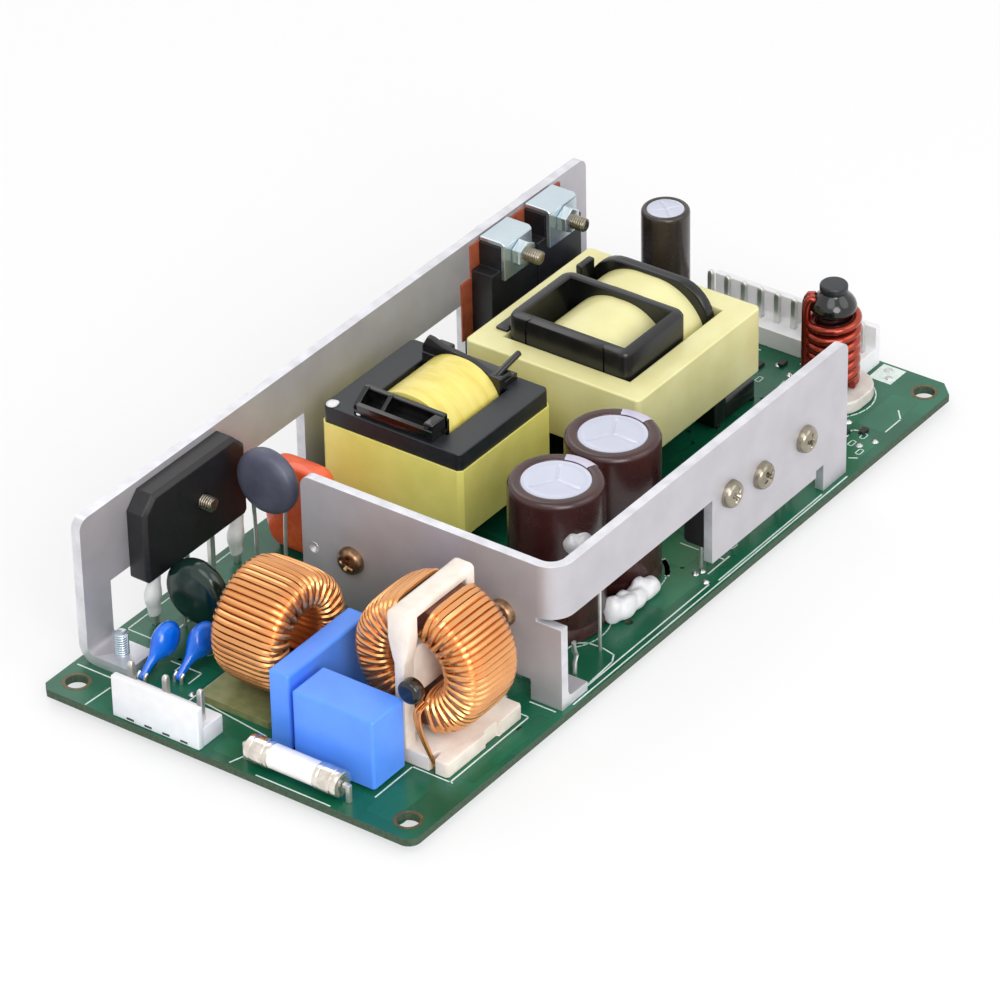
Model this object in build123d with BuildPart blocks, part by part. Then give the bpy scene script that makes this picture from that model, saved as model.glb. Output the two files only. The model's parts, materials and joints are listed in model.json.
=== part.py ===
"""Open-frame AC-DC power supply board with two folded aluminium heat spreaders.

Units are millimetres. X runs along the board from the AC input end to the
output end, Y across it, Z up. The origin is the middle of the four mounting
holes on the underside of the board. Positions of parts are given from the
board corner at the input end, on the side of the folded right-hand plate.
"""

import math
import os

from build123d import *

os.makedirs("parts", exist_ok=True)

# Board
BOARD_L = 180.0
BOARD_W = 84.0
BOARD_T = 1.6
HOLE_EDGE_X = 5.0
HOLE_EDGE_Y = 4.5
HOLE_PITCH_X = BOARD_L - 2 * HOLE_EDGE_X
HOLE_PITCH_Y = BOARD_W - 2 * HOLE_EDGE_Y
HOLE_D = 4.2
BOARD_CORNER_R = 2.5
BOARD_CHAMFER = 3.0
TOOLING_HOLE_D = 1.8
TOOLING_HOLES = ((38.4, 4.1), (77.1, 7.3))
M3_CLEAR_D = 3.4
M3_D = 3.0
TIP_DROP = 2.0

# Sides of the plain rounds that repeat, carry a screw or lie hidden
ROUND_SIDES = 24
HEAD_SIDES = 12
BORE_SIDES = 8
FUSE_SIDES = 16
ROD_SIDES = 12

# Folded plates
PLATE_T = 2.0
LEFT_PLATE_X0 = 10.9
LEFT_PLATE_X1 = 170.1
LEFT_PLATE_INSET = 0.5
LEFT_PLATE_OUT = BOARD_W - LEFT_PLATE_INSET
LEFT_PLATE_TOP = 32.2
LEFT_LEG_W = 7.6
LEFT_MID_LEG = (77.0, 96.0)
LEFT_REAR_LEG = 128.5
LEFT_WINDOW_LOW = 15.5
LEFT_WINDOW_HIGH = 21.0
LEFT_WINDOW_REAR = 19.2
LEFT_WINDOW_STEP = 45.0
LEFT_FOOT_REACH = 11.5
FOLD_R = 1.6
PLATE_CORNER_R = 2.2
RIGHT_PLATE_X0 = 47.0
RIGHT_PLATE_X1 = 142.2
RIGHT_PLATE_OUT = 1.55
RIGHT_PLATE_Y1 = 59.2
RIGHT_PLATE_TOP = 31.3
RIGHT_BEND_R = 3.0
RIGHT_LIFT_HIGH = 20.0
RIGHT_LIFT_LOW = 6.0
RIGHT_STEP_X = 96.3
RIGHT_END_LEG_X = 134.2
RIGHT_SLOT_W = 2.6
RIGHT_LEG_Y = (1.0, 8.0)
RIGHT_LEFT_LEG_W = 6.0
RIGHT_FRONT_LIFT = 6.0
RIGHT_FOOT_REACH = 8.0
DIMPLE_AT = (56.5, 16.4)
DIMPLE_D = 2.4

# Devices clamped to the plates
PAD_T = 0.4
TO_BODY_W = 10.0
TO_BODY_H = 15.6
TO_BODY_T = 4.5
TO_LEAD_PITCH = 2.54
TO_LEAD_W = 0.8
TO_LEAD_T = 0.5
TO_SCREW_ABOVE = 9.6
RIGHT_DEVICE_SPOTS = ((102.0, 18.6), (112.6, 17.0), (127.3, 17.2))
FRONT_DEVICE_SPOTS = ((47.8, 16.9), (13.8, 18.4))
PAN_HEAD_D = 5.6
PAN_HEAD_H = 2.0
PAN_CROWN = 0.7
CROSS_L = 3.1
CROSS_W = 0.7
CROSS_DEEP = 0.8
CLIP_NUT_R = 2.9
CLIP_NUT_H = 2.2
CLIP_DEVICE_W = 15.0
CLIP_DEVICE_H = 20.4
CLIP_DEVICE_T = 5.0
CLIP_DEVICE_TOP = 31.2
CLIP_DEVICE_X = (138.0, 153.2)
CLIP_DEVICE_NECK = 5.2
CLIP_DEVICE_NECK_CUT = 2.6
CLIP_LEAD_PITCH = 5.45
CLIP_LEAD_W = 1.2
CLIP_W = 9.2
CLIP_T = 1.0
CLIP_DROP = 7.4
CLIP_SCREW_Z = 28.6
CLIP_SCREW_REACH = 5.5
RED_PAD_Z = (11.0, 24.0)

# Bridge rectifier
BRIDGE_W = 30.0
BRIDGE_H = 18.4
BRIDGE_T = 4.4
BRIDGE_X = 24.0
BRIDGE_Z = 12.5
BRIDGE_CHAMFER = 3.2
BRIDGE_LOW_CHAMFER = 1.0
BRIDGE_LEADS = (3.8, 13.4, 20.9, 28.4)
BRIDGE_LEAD_W = 1.3
BRIDGE_LEAD_T = 1.0
SLEEVE_D = 3.6
SLEEVE_FOOT = 3.4
BRIDGE_SCREW_AT = (17.0, 9.6)

# Input filter
FUSE_X = 3.4
FUSE_Y = (17.4, 38.0)
FUSE_D = 5.2
FUSE_CAP_L = 5.2
FUSE_CAP_T = 0.25
FUSE_LIFT = 0.7
FUSE_LEAD_D = 0.9
HEADER_PITCH = 3.96
HEADER_DEPTH = 7.2
HEADER_BASE_H = 4.0
HEADER_WALL_H = 8.8
HEADER_WALL_T = 1.5
HEADER_PIN = 1.14
HEADER_PIN_TOP = 12.2
AC_HEADER_AT = (0.5, 47.6)
AC_HEADER_COUNT = 5
TALL_X_CAP = (24.0, 4.6, 16.6)
TALL_X_CAP_AT = (9.3, 33.6)
LOW_X_CAP = (9.4, 17.9, 15.2)
LOW_X_CAP_AT = (7.9, 14.0)
X_CAP_FOOT = 0.6
X_CAP_EDGE = 0.4
THERMISTOR_AT = (50.4, 69.4)
THERMISTOR_Z = 24.4
THERMISTOR_D = 13.6
THERMISTOR_T = 4.2
VARISTOR_AT = (30.0, 70.6)
VARISTOR_Z = 10.8
VARISTOR_D = 13.6
VARISTOR_T = 4.4
DISC_LEAD_D = 0.8
DISC_LEAD_PITCH = 7.5
FILM_CAP = (6.0, 15.0, 19.0)
FILM_CAP_AT = (59.2, 63.6)
FILM_CAP_FOOT = 2.4
FILM_CAP_CORNER = 1.7
Y_CAP_D = 9.0
Y_CAP_T = 4.6
Y_CAP_SPOTS = ((19.0, 69.6), (22.6, 64.0))
Y_CAP_Z = 7.4
Y_CAP_TIP = (-7.0, -4.34)
Y_CAP_SIDES = 14
BACK_Y_CAP_AT = (70.6, 78.4)

# Toroid chokes
TURN_GAP = 0.12
LINE_CHOKE_AT = (24.8, 47.8)
LINE_CHOKE_R = 12.1
LINE_CHOKE_W = 15.6
LINE_CHOKE_HOLE_R = 4.4
LINE_CHOKE_TURNS = 34
LINE_WIRE = 1.25
LINE_BASE_T = 1.6
LINE_BASE = (26.0, 17.0)
MODE_CHOKE_AT = (29.6, 15.9)
MODE_CHOKE_R = 14.3
MODE_CHOKE_W = 15.4
MODE_CHOKE_HOLE_R = 5.2
MODE_CHOKE_TURNS = 15
MODE_CHOKE_HALF_ARC = 62.0
MODE_WIRE = 1.35
MODE_BASE = (23.0, 22.8)
MODE_BASE_T = 3.2
MODE_WALL_T = 4.6
MODE_WALL_TOP = 33.6
MODE_WALL_X = (18.6, 41.0)
MODE_BEAD_D = 4.8
MODE_BEAD_L = 2.6
MODE_BEAD_Z = 18.9
MODE_BEAD_SIDE = 1.2

# Flat wound inductor in the middle
INDUCTOR_AT = (88.1, 58.6)
CORE_CORNER = 0.8
INDUCTOR_CORE = (28.6, 32.0)
INDUCTOR_CORE_Z = (8.8, 27.0)
INDUCTOR_LEG = 6.3
INDUCTOR_END = 4.6
INDUCTOR_TAPE_TOP = 23.4
TAPE_T = 0.3
INDUCTOR_COIL_H = 27.0
INDUCTOR_CENTRE_LEG = 6.4
FLANGE_T = 1.6
INDUCTOR_RAIL_L = 26.0

# Main transformer
TRANSFORMER_AT = (128.4, 46.0)
TRANSFORMER_CORE = (41.6, 40.4)
TRANSFORMER_CORE_Z = (12.6, 27.0)
TRANSFORMER_LEG = 5.6
TRANSFORMER_END = 5.2
TRANSFORMER_CENTRE_LEG = 7.0
TRANSFORMER_TOP = 32.2
TRANSFORMER_BOX_L = 20.4
TRANSFORMER_BOX_WALL = 2.4
TRANSFORMER_REAR_COIL_L = 7.0
TRANSFORMER_RAIL = (10.0, 31.0)
TRANSFORMER_RAIL_H = 4.6

# Capacitors
BULK_D = 18.2
BULK_TOP = 32.5
BULK_SPOTS = ((70.8, 18.7), (89.3, 19.0))
CAN_WINDOW = 0.74
SLEEVE_T = 0.3
OUTPUT_CAP_D = 9.8
OUTPUT_CAP_TOP = 29.0
OUTPUT_CAP_AT = (167.3, 60.4)
BLUE_CAP = (7.0, 11.0, 20.0)
BLUE_CAP_AT = (154.2, 64.0)
BLUE_CAP_EDGE = 0.5

# Output end
OUT_HEADER_AT = (172.0, 17.5)
OUT_HEADER_COUNT = 10
ROD_AT = (164.3, 19.0)
ROD_D = 5.6
ROD_TOP = 27.0
ROD_COIL_D = 11.0
ROD_COIL_Z = (4.4, 21.4)
ROD_TURNS = 9
ROD_TURN_EDGE = 0.32
ROD_BOBBIN_R = ROD_D / 2 + 1.2
ROD_PAD = (14.6, 15.4)
ROD_PAD_T = 2.6
ROD_PAD_R = 6.0

# Underside joints
JOINT_HALF = 1.1
JOINT_TIP_HALF = 0.4

HALF_L = BOARD_L / 2
HALF_W = BOARD_W / 2
LEFT_PLATE_IN = LEFT_PLATE_OUT - PLATE_T
RIGHT_WALL_IN = RIGHT_PLATE_OUT + PLATE_T
FRONT_WALL_IN = RIGHT_PLATE_X0 + PLATE_T
FOOT_SCREW_SPOTS = (
    (LEFT_PLATE_X0 + LEFT_LEG_W / 2, LEFT_PLATE_OUT - LEFT_FOOT_REACH + 4.6),
    (LEFT_PLATE_X1 - LEFT_LEG_W / 2, LEFT_PLATE_OUT - LEFT_FOOT_REACH + 4.6),
)
UP = (Align.CENTER, Align.CENTER, Align.MIN)
CORNER_UP = (Align.MIN, Align.MIN, Align.MIN)


def spot(x, y, z=BOARD_T):
    """Place measured from the board corner, on the top face by default."""
    return Location((x - HALF_L, y - HALF_W, z))


def flat(x, y):
    """The same corner-based place as a point in an XY sketch."""
    return (x - HALF_L, y - HALF_W)


def finish(part, name, label):
    """Name the finished solid and write its file."""
    part.label = label
    export_step(part, os.path.join("parts", name + ".step"))


def block(x0, x1, y0, y1, z0, z1, mode=Mode.ADD):
    """A box between corner-based limits."""
    with Locations(spot(x0, y0, z0)):
        Box(x1 - x0, y1 - y0, z1 - z0, align=CORNER_UP, mode=mode)


def prism(radius, length, sides=BORE_SIDES):
    """Many-sided bar on the local Z axis, centred on the origin."""
    with BuildPart(mode=Mode.PRIVATE) as bar:
        with BuildSketch(Plane.XY.offset(-length / 2)):
            RegularPolygon(radius, sides)
        extrude(amount=length)
    return bar.part


# Board
with BuildPart() as pcb:
    with BuildSketch(Plane.XY) as outline:
        Rectangle(BOARD_L, BOARD_W)
        front_right = outline.vertices().sort_by(Axis.X)[:2].sort_by(Axis.Y)[0]
        fillet(front_right, BOARD_CORNER_R)
        rear = outline.vertices().group_by(Axis.X)[-1]
        chamfer(rear, BOARD_CHAMFER)
        front_left = outline.vertices().group_by(Axis.X)[0].sort_by(Axis.Y)[-1]
        chamfer(front_left, BOARD_CHAMFER / 2)
        with GridLocations(HOLE_PITCH_X, HOLE_PITCH_Y, 2, 2):
            Circle(HOLE_D / 2, mode=Mode.SUBTRACT)
        with Locations(*[flat(x, y) for x, y in TOOLING_HOLES]):
            RegularPolygon(TOOLING_HOLE_D / 2, BORE_SIDES, mode=Mode.SUBTRACT)
        with Locations(*[flat(x, y) for x, y in FOOT_SCREW_SPOTS]):
            RegularPolygon(M3_CLEAR_D / 2, BORE_SIDES, mode=Mode.SUBTRACT)
    extrude(amount=BOARD_T)
finish(pcb.part, "circuit_board", "circuit board")

# Left plate: an angle section folded inward, then cut to legs
with BuildPart() as left_plate:
    with BuildSketch(Plane.YZ.offset(LEFT_PLATE_X0 - HALF_L)) as section:
        outer_y = LEFT_PLATE_OUT - HALF_W
        inner_y = outer_y - LEFT_FOOT_REACH
        with BuildLine():
            Polyline(
                (outer_y, LEFT_PLATE_TOP),
                (outer_y, BOARD_T),
                (inner_y, BOARD_T),
                (inner_y, BOARD_T + PLATE_T),
                (outer_y - PLATE_T, BOARD_T + PLATE_T),
                (outer_y - PLATE_T, LEFT_PLATE_TOP),
                close=True,
            )
        make_face()
        inside = section.vertices().sort_by_distance((outer_y - PLATE_T, BOARD_T + PLATE_T, 0))[0]
        fillet(inside, FOLD_R)
        outside = section.vertices().sort_by_distance((outer_y, BOARD_T, 0))[0]
        fillet(outside, FOLD_R + PLATE_T)
    extrude(amount=LEFT_PLATE_X1 - LEFT_PLATE_X0)
    # windows between the legs, and the foot only at both ends
    far = LEFT_PLATE_OUT + 1
    near = LEFT_PLATE_OUT - LEFT_FOOT_REACH - 1
    block(LEFT_PLATE_X0 + LEFT_LEG_W, LEFT_WINDOW_STEP, near, far, 0, LEFT_WINDOW_LOW, Mode.SUBTRACT)
    block(LEFT_WINDOW_STEP, LEFT_MID_LEG[0], near, far, 0, LEFT_WINDOW_HIGH, Mode.SUBTRACT)
    block(LEFT_MID_LEG[1], LEFT_REAR_LEG, near, far, 0, LEFT_WINDOW_REAR, Mode.SUBTRACT)
    fold_top = BOARD_T + PLATE_T + FOLD_R
    block(LEFT_MID_LEG[0] - 1, LEFT_PLATE_X1 - LEFT_LEG_W, near, LEFT_PLATE_IN, 0, fold_top, Mode.SUBTRACT)
    for leg0, leg1 in (LEFT_MID_LEG, (LEFT_REAR_LEG, LEFT_PLATE_X1 - LEFT_LEG_W)):
        block(leg0, leg1, LEFT_PLATE_IN, LEFT_PLATE_OUT, BOARD_T, fold_top)
    corners = left_plate.edges().filter_by(Axis.Y).group_by(Axis.Z)[-1]
    fillet(corners, PLATE_CORNER_R)
    with Locations(*[spot(x, y, BOARD_T + PLATE_T / 2) for x, y in FOOT_SCREW_SPOTS]):
        add(prism(M3_D / 2, PLATE_T), mode=Mode.SUBTRACT)
    bridge_hole = (BRIDGE_X + BRIDGE_SCREW_AT[0], BRIDGE_Z + BRIDGE_SCREW_AT[1])
    holes = [(bridge_hole[0], LEFT_PLATE_IN + PLATE_T / 2, bridge_hole[1])]
    holes += [(x, LEFT_PLATE_IN + PLATE_T / 2, CLIP_SCREW_Z) for x in CLIP_DEVICE_X]
    with Locations(*[spot(*h) * Rotation(90, 0, 0) for h in holes]):
        add(prism(M3_D / 2, PLATE_T), mode=Mode.SUBTRACT)
finish(left_plate.part, "left_heat_plate", "left heat plate")

# Right plate: two walls with a rounded bend, legs and a turned foot
with BuildPart() as right_plate:
    with BuildSketch(Plane.XY.offset(RIGHT_LIFT_HIGH)) as walls:
        with Locations(flat(RIGHT_PLATE_X0, RIGHT_PLATE_OUT)):
            Rectangle(PLATE_T, RIGHT_PLATE_Y1 - RIGHT_PLATE_OUT, align=(Align.MIN, Align.MIN))
            Rectangle(RIGHT_PLATE_X1 - RIGHT_PLATE_X0, PLATE_T, align=(Align.MIN, Align.MIN))
        bend_out = walls.vertices().sort_by_distance(
            (*flat(RIGHT_PLATE_X0, RIGHT_PLATE_OUT), RIGHT_LIFT_HIGH))[0]
        fillet(bend_out, RIGHT_BEND_R + PLATE_T)
        bend_in = walls.vertices().sort_by_distance(
            (*flat(FRONT_WALL_IN, RIGHT_WALL_IN), RIGHT_LIFT_HIGH))[0]
        fillet(bend_in, RIGHT_BEND_R)
    extrude(amount=RIGHT_PLATE_TOP - RIGHT_LIFT_HIGH)
    # right-hand wall below the long raised edge
    block(RIGHT_STEP_X, RIGHT_PLATE_X1, RIGHT_PLATE_OUT, RIGHT_WALL_IN, RIGHT_LIFT_LOW, RIGHT_LIFT_HIGH)
    block(RIGHT_END_LEG_X, RIGHT_PLATE_X1, RIGHT_PLATE_OUT, RIGHT_WALL_IN, BOARD_T, RIGHT_LIFT_LOW)
    block(RIGHT_END_LEG_X - RIGHT_SLOT_W, RIGHT_END_LEG_X, RIGHT_PLATE_OUT - 1, RIGHT_WALL_IN + 1,
          RIGHT_LIFT_LOW - 1, RIGHT_LIFT_LOW + 1.6, Mode.SUBTRACT)
    # front wall, its two legs and the relief beside the bend
    relief_y = RIGHT_PLATE_OUT + PLATE_T + RIGHT_BEND_R
    block(RIGHT_PLATE_X0, FRONT_WALL_IN, relief_y, RIGHT_PLATE_Y1, RIGHT_FRONT_LIFT, RIGHT_LIFT_HIGH)
    block(RIGHT_PLATE_X0, FRONT_WALL_IN, RIGHT_LEG_Y[0], RIGHT_LEG_Y[1], BOARD_T, RIGHT_LIFT_HIGH - 0.8)
    block(RIGHT_PLATE_X0, FRONT_WALL_IN, RIGHT_PLATE_Y1 - RIGHT_LEFT_LEG_W, RIGHT_PLATE_Y1, BOARD_T,
          RIGHT_LIFT_HIGH)
    with BuildSketch(Plane.XZ.offset(HALF_W - RIGHT_LEG_Y[0])) as foot:
        foot_x = RIGHT_PLATE_X0 - HALF_L
        with BuildLine():
            Polyline(
                (foot_x, RIGHT_FRONT_LIFT),
                (foot_x, BOARD_T),
                (foot_x + RIGHT_FOOT_REACH, BOARD_T),
                (foot_x + RIGHT_FOOT_REACH, BOARD_T + PLATE_T),
                (foot_x + PLATE_T, BOARD_T + PLATE_T),
                (foot_x + PLATE_T, RIGHT_FRONT_LIFT),
                close=True,
            )
        make_face()
    extrude(amount=-(RIGHT_LEG_Y[1] - RIGHT_LEG_Y[0]))
    fold = right_plate.edges().filter_by(Axis.Y).sort_by_distance(
        spot(FRONT_WALL_IN, RIGHT_LEG_Y[0], BOARD_T + PLATE_T).position)[0]
    fillet(fold, FOLD_R)
    ends = right_plate.edges().filter_by(Axis.X).group_by(Axis.Z)[-1].sort_by(Axis.Y)[-1:]
    ends += right_plate.edges().filter_by(Axis.Y).group_by(Axis.Z)[-1].sort_by(Axis.X)[-1:]
    fillet(ends, PLATE_CORNER_R)
    front_holes = [spot(RIGHT_PLATE_X0 + PLATE_T / 2, y, z) for y, z in FRONT_DEVICE_SPOTS]
    with Locations(*[h * Rotation(0, 90, 0) for h in front_holes]):
        add(prism(M3_D / 2, PLATE_T), mode=Mode.SUBTRACT)
    with Locations(spot(RIGHT_PLATE_X0, DIMPLE_AT[0], DIMPLE_AT[1]) * Rotation(0, 90, 0)):
        add(prism(DIMPLE_D / 2, PLATE_T), mode=Mode.SUBTRACT)
    side_holes = [spot(x, RIGHT_PLATE_OUT + PLATE_T / 2, z) for x, z in RIGHT_DEVICE_SPOTS]
    with Locations(*[h * Rotation(90, 0, 0) for h in side_holes]):
        add(prism(M3_D / 2, PLATE_T), mode=Mode.SUBTRACT)
finish(right_plate.part, "right_heat_plate", "right heat plate")


# Fasteners
def pan_screw(reach):
    """Solid screw on the local origin: head above z=0, shank down by reach."""
    with BuildPart(mode=Mode.PRIVATE) as screw:
        with BuildSketch(Plane.XY):
            RegularPolygon(PAN_HEAD_D / 2, HEAD_SIDES)
        extrude(amount=PAN_HEAD_H)
        chamfer(screw.edges().group_by(Axis.Z)[-1], PAN_CROWN)
        with Locations((0, 0, PAN_HEAD_H)):
            Box(CROSS_L, CROSS_W, 2 * CROSS_DEEP, mode=Mode.SUBTRACT)
            Box(CROSS_W, CROSS_L, 2 * CROSS_DEEP, mode=Mode.SUBTRACT)
        with BuildSketch(Plane.XY):
            RegularPolygon(M3_D / 2, BORE_SIDES)
        extrude(amount=-reach)
    return screw.part


FOOT_SCREW_REACH = BOARD_T + PLATE_T + 4.6
with BuildPart() as foot_screws:
    with Locations(*[spot(x, y, 0) * Rotation(180, 0, 0) for x, y in FOOT_SCREW_SPOTS]):
        add(pan_screw(FOOT_SCREW_REACH))
finish(foot_screws.part, "foot_screws", "foot screws")

DEVICE_REACH = PLATE_T + PAD_T + TO_BODY_T + 1.5
with BuildPart() as plate_screws:
    with Locations(*[spot(x, RIGHT_PLATE_OUT, z) * Rotation(90, 0, 0) for x, z in RIGHT_DEVICE_SPOTS]):
        add(pan_screw(DEVICE_REACH))
    with Locations(*[spot(RIGHT_PLATE_X0, y, z) * Rotation(0, -90, 0) for y, z in FRONT_DEVICE_SPOTS]):
        add(pan_screw(DEVICE_REACH))
finish(plate_screws.part, "plate_screws", "plate screws")

BRIDGE_SCREW_REACH = PLATE_T + BRIDGE_T + 2.4
with BuildPart() as bridge_screw:
    with Locations(spot(bridge_hole[0], LEFT_PLATE_OUT, bridge_hole[1]) * Rotation(-90, 0, 0)):
        add(pan_screw(BRIDGE_SCREW_REACH))
finish(bridge_screw.part, "rectifier_screw", "rectifier screw")


# Devices on the folded plate
def flat_device(top_above_screw):
    """Body with its back on local y=0, screw axis through the origin."""
    with BuildPart(mode=Mode.PRIVATE) as body:
        with BuildSketch(Plane.XY.offset(-TO_SCREW_ABOVE - PAN_HEAD_D / 2 + 2)):
            Rectangle(TO_BODY_W, TO_BODY_T, align=(Align.CENTER, Align.MIN))
        extrude(amount=top_above_screw + TO_SCREW_ABOVE + PAN_HEAD_D / 2 - 2)
        rim = body.edges().filter_by(Axis.X).sort_by(Axis.Y)[-2:]
        chamfer(rim, 0.6)
        with Locations(Location((0, TO_BODY_T / 2, 0), (90, 0, 0))):
            add(prism(M3_CLEAR_D / 2, TO_BODY_T * 2), mode=Mode.SUBTRACT)
    return body.part


CLIP_DEVICE_BACK = LEFT_PLATE_IN - PAD_T
CLIP_DEVICE_BOTTOM = CLIP_DEVICE_TOP - CLIP_DEVICE_H
TO_TOP = TO_BODY_H - TO_SCREW_ABOVE - PAN_HEAD_D / 2 + 2
TO_BOTTOM = -TO_SCREW_ABOVE - PAN_HEAD_D / 2 + 2
with BuildPart() as side_devices:
    with Locations(*[spot(x, RIGHT_WALL_IN + PAD_T, z) for x, z in RIGHT_DEVICE_SPOTS]):
        add(flat_device(TO_TOP))
finish(side_devices.part, "side_wall_devices", "side wall devices")

with BuildPart() as front_devices:
    with Locations(*[spot(FRONT_WALL_IN + PAD_T, y, z) * Rotation(0, 0, -90)
                     for y, z in FRONT_DEVICE_SPOTS]):
        add(flat_device(TO_TOP))
finish(front_devices.part, "front_wall_devices", "front wall devices")

with BuildPart() as wall_pads:
    for x, z in RIGHT_DEVICE_SPOTS:
        with Locations(spot(x, RIGHT_WALL_IN, z)):
            with Locations(Location((0, 0, TO_BOTTOM))):
                Box(TO_BODY_W, PAD_T, TO_BODY_H, align=(Align.CENTER, Align.MIN, Align.MIN))
            with Locations(Location((0, 0, 0), (90, 0, 0))):
                add(prism(M3_CLEAR_D / 2, 4 * PAD_T), mode=Mode.SUBTRACT)
    for y, z in FRONT_DEVICE_SPOTS:
        with Locations(spot(FRONT_WALL_IN, y, z)):
            with Locations(Location((0, 0, TO_BOTTOM))):
                Box(PAD_T, TO_BODY_W, TO_BODY_H, align=(Align.MIN, Align.CENTER, Align.MIN))
            with Locations(Location((0, 0, 0), (0, 90, 0))):
                add(prism(M3_CLEAR_D / 2, 4 * PAD_T), mode=Mode.SUBTRACT)
finish(wall_pads.part, "wall_device_pads", "wall device pads")

with BuildPart() as device_leads:
    for x, z in RIGHT_DEVICE_SPOTS:
        lead_h = z + TO_BOTTOM - BOARD_T
        for k in (-1, 0, 1):
            with Locations(spot(x + k * TO_LEAD_PITCH, RIGHT_WALL_IN + PAD_T + TO_BODY_T / 2)):
                Box(TO_LEAD_W, TO_LEAD_T, lead_h, align=UP)
    for y, z in FRONT_DEVICE_SPOTS:
        lead_h = z + TO_BOTTOM - BOARD_T
        for k in (-1, 0, 1):
            with Locations(spot(FRONT_WALL_IN + PAD_T + TO_BODY_T / 2, y + k * TO_LEAD_PITCH)):
                Box(TO_LEAD_T, TO_LEAD_W, lead_h, align=UP)
    for x in CLIP_DEVICE_X:
        for k in (-1, 0, 1):
            with Locations(spot(x + k * CLIP_LEAD_PITCH, CLIP_DEVICE_BACK - CLIP_DEVICE_T / 2)):
                Box(CLIP_LEAD_W, 0.6, CLIP_DEVICE_BOTTOM - BOARD_T, align=UP)
finish(device_leads.part, "device_leads", "device leads")

# Clamped devices on the left plate
with BuildPart() as clip_devices:
    for x in CLIP_DEVICE_X:
        with BuildSketch(Plane.XZ.offset(HALF_W - CLIP_DEVICE_BACK)) as face:
            with Locations((x - HALF_L, CLIP_DEVICE_BOTTOM)):
                Rectangle(CLIP_DEVICE_W, CLIP_DEVICE_H, align=(Align.CENTER, Align.MIN))
            for side in (-1, 1):
                with Locations((x - HALF_L + side * CLIP_DEVICE_W / 2, CLIP_DEVICE_TOP)):
                    Rectangle(CLIP_DEVICE_NECK_CUT * 2, CLIP_DEVICE_NECK * 2, mode=Mode.SUBTRACT)
        extrude(amount=CLIP_DEVICE_T)
    clip_holes = [spot(x, CLIP_DEVICE_BACK - CLIP_DEVICE_T / 2, CLIP_SCREW_Z) for x in CLIP_DEVICE_X]
    with Locations(*[h * Rotation(90, 0, 0) for h in clip_holes]):
        add(prism(M3_CLEAR_D / 2, CLIP_DEVICE_T * 2), mode=Mode.SUBTRACT)
finish(clip_devices.part, "clamped_devices", "clamped devices")

with BuildPart() as clip_pads:
    for x in CLIP_DEVICE_X:
        with Locations(spot(x, LEFT_PLATE_IN - PAD_T, 0)):
            with Locations((0, 0, RED_PAD_Z[0])):
                Box(CLIP_DEVICE_W, PAD_T, CLIP_DEVICE_TOP - RED_PAD_Z[0],
                    align=(Align.CENTER, Align.MIN, Align.MIN))
            with Locations(Location((0, 0, CLIP_SCREW_Z), (90, 0, 0))):
                add(prism(M3_CLEAR_D / 2, 4 * PAD_T), mode=Mode.SUBTRACT)
    first = CLIP_DEVICE_X[0] - CLIP_DEVICE_W / 2
    last = CLIP_DEVICE_X[1] + CLIP_DEVICE_W / 2
    block(first - 3.2, first, LEFT_PLATE_IN - PAD_T, LEFT_PLATE_IN, RED_PAD_Z[0], RED_PAD_Z[1])
    block(last, last + 4.4, LEFT_PLATE_IN - PAD_T, LEFT_PLATE_IN, RED_PAD_Z[0], RED_PAD_Z[1])
finish(clip_pads.part, "insulating_sheets", "insulating sheets")

CLIP_FRONT = CLIP_DEVICE_BACK - CLIP_DEVICE_T
with BuildPart() as clips:
    for x in CLIP_DEVICE_X:
        with BuildSketch(Plane.YZ.offset(x - HALF_L - CLIP_W / 2)) as strap:
            back = CLIP_DEVICE_BACK - HALF_W
            front = CLIP_FRONT - HALF_W
            low = CLIP_DEVICE_TOP - CLIP_DROP
            high = CLIP_DEVICE_TOP + CLIP_T
            with BuildLine():
                Polyline(
                    (back, CLIP_DEVICE_TOP), (front, CLIP_DEVICE_TOP), (front, low),
                    (front - CLIP_T, low), (front - CLIP_T, high), (back, high),
                    close=True,
                )
            make_face()
            turn = strap.vertices().sort_by_distance((front - CLIP_T, high, 0))[0]
            fillet(turn, CLIP_T)
        extrude(amount=CLIP_W)
    holes = [spot(x, CLIP_FRONT - CLIP_T / 2, CLIP_SCREW_Z) for x in CLIP_DEVICE_X]
    with Locations(*[h * Rotation(90, 0, 0) for h in holes]):
        add(prism(M3_CLEAR_D / 2, CLIP_T * 2), mode=Mode.SUBTRACT)
finish(clips.part, "spring_clips", "spring clips")

CLIP_SCREW_LENGTH = PLATE_T + PAD_T + CLIP_DEVICE_T + CLIP_T + CLIP_SCREW_REACH
with BuildPart() as clip_screws:
    with Locations(*[spot(x, LEFT_PLATE_OUT, CLIP_SCREW_Z) * Rotation(-90, 0, 0)
                     for x in CLIP_DEVICE_X]):
        add(pan_screw(CLIP_SCREW_LENGTH))
    for x in CLIP_DEVICE_X:
        with BuildSketch(Plane.XZ.offset(HALF_W - CLIP_FRONT + CLIP_T)):
            with Locations((x - HALF_L, CLIP_SCREW_Z)):
                RegularPolygon(CLIP_NUT_R, 6)
        extrude(amount=CLIP_NUT_H)
finish(clip_screws.part, "clip_screws", "clip screws")

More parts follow.
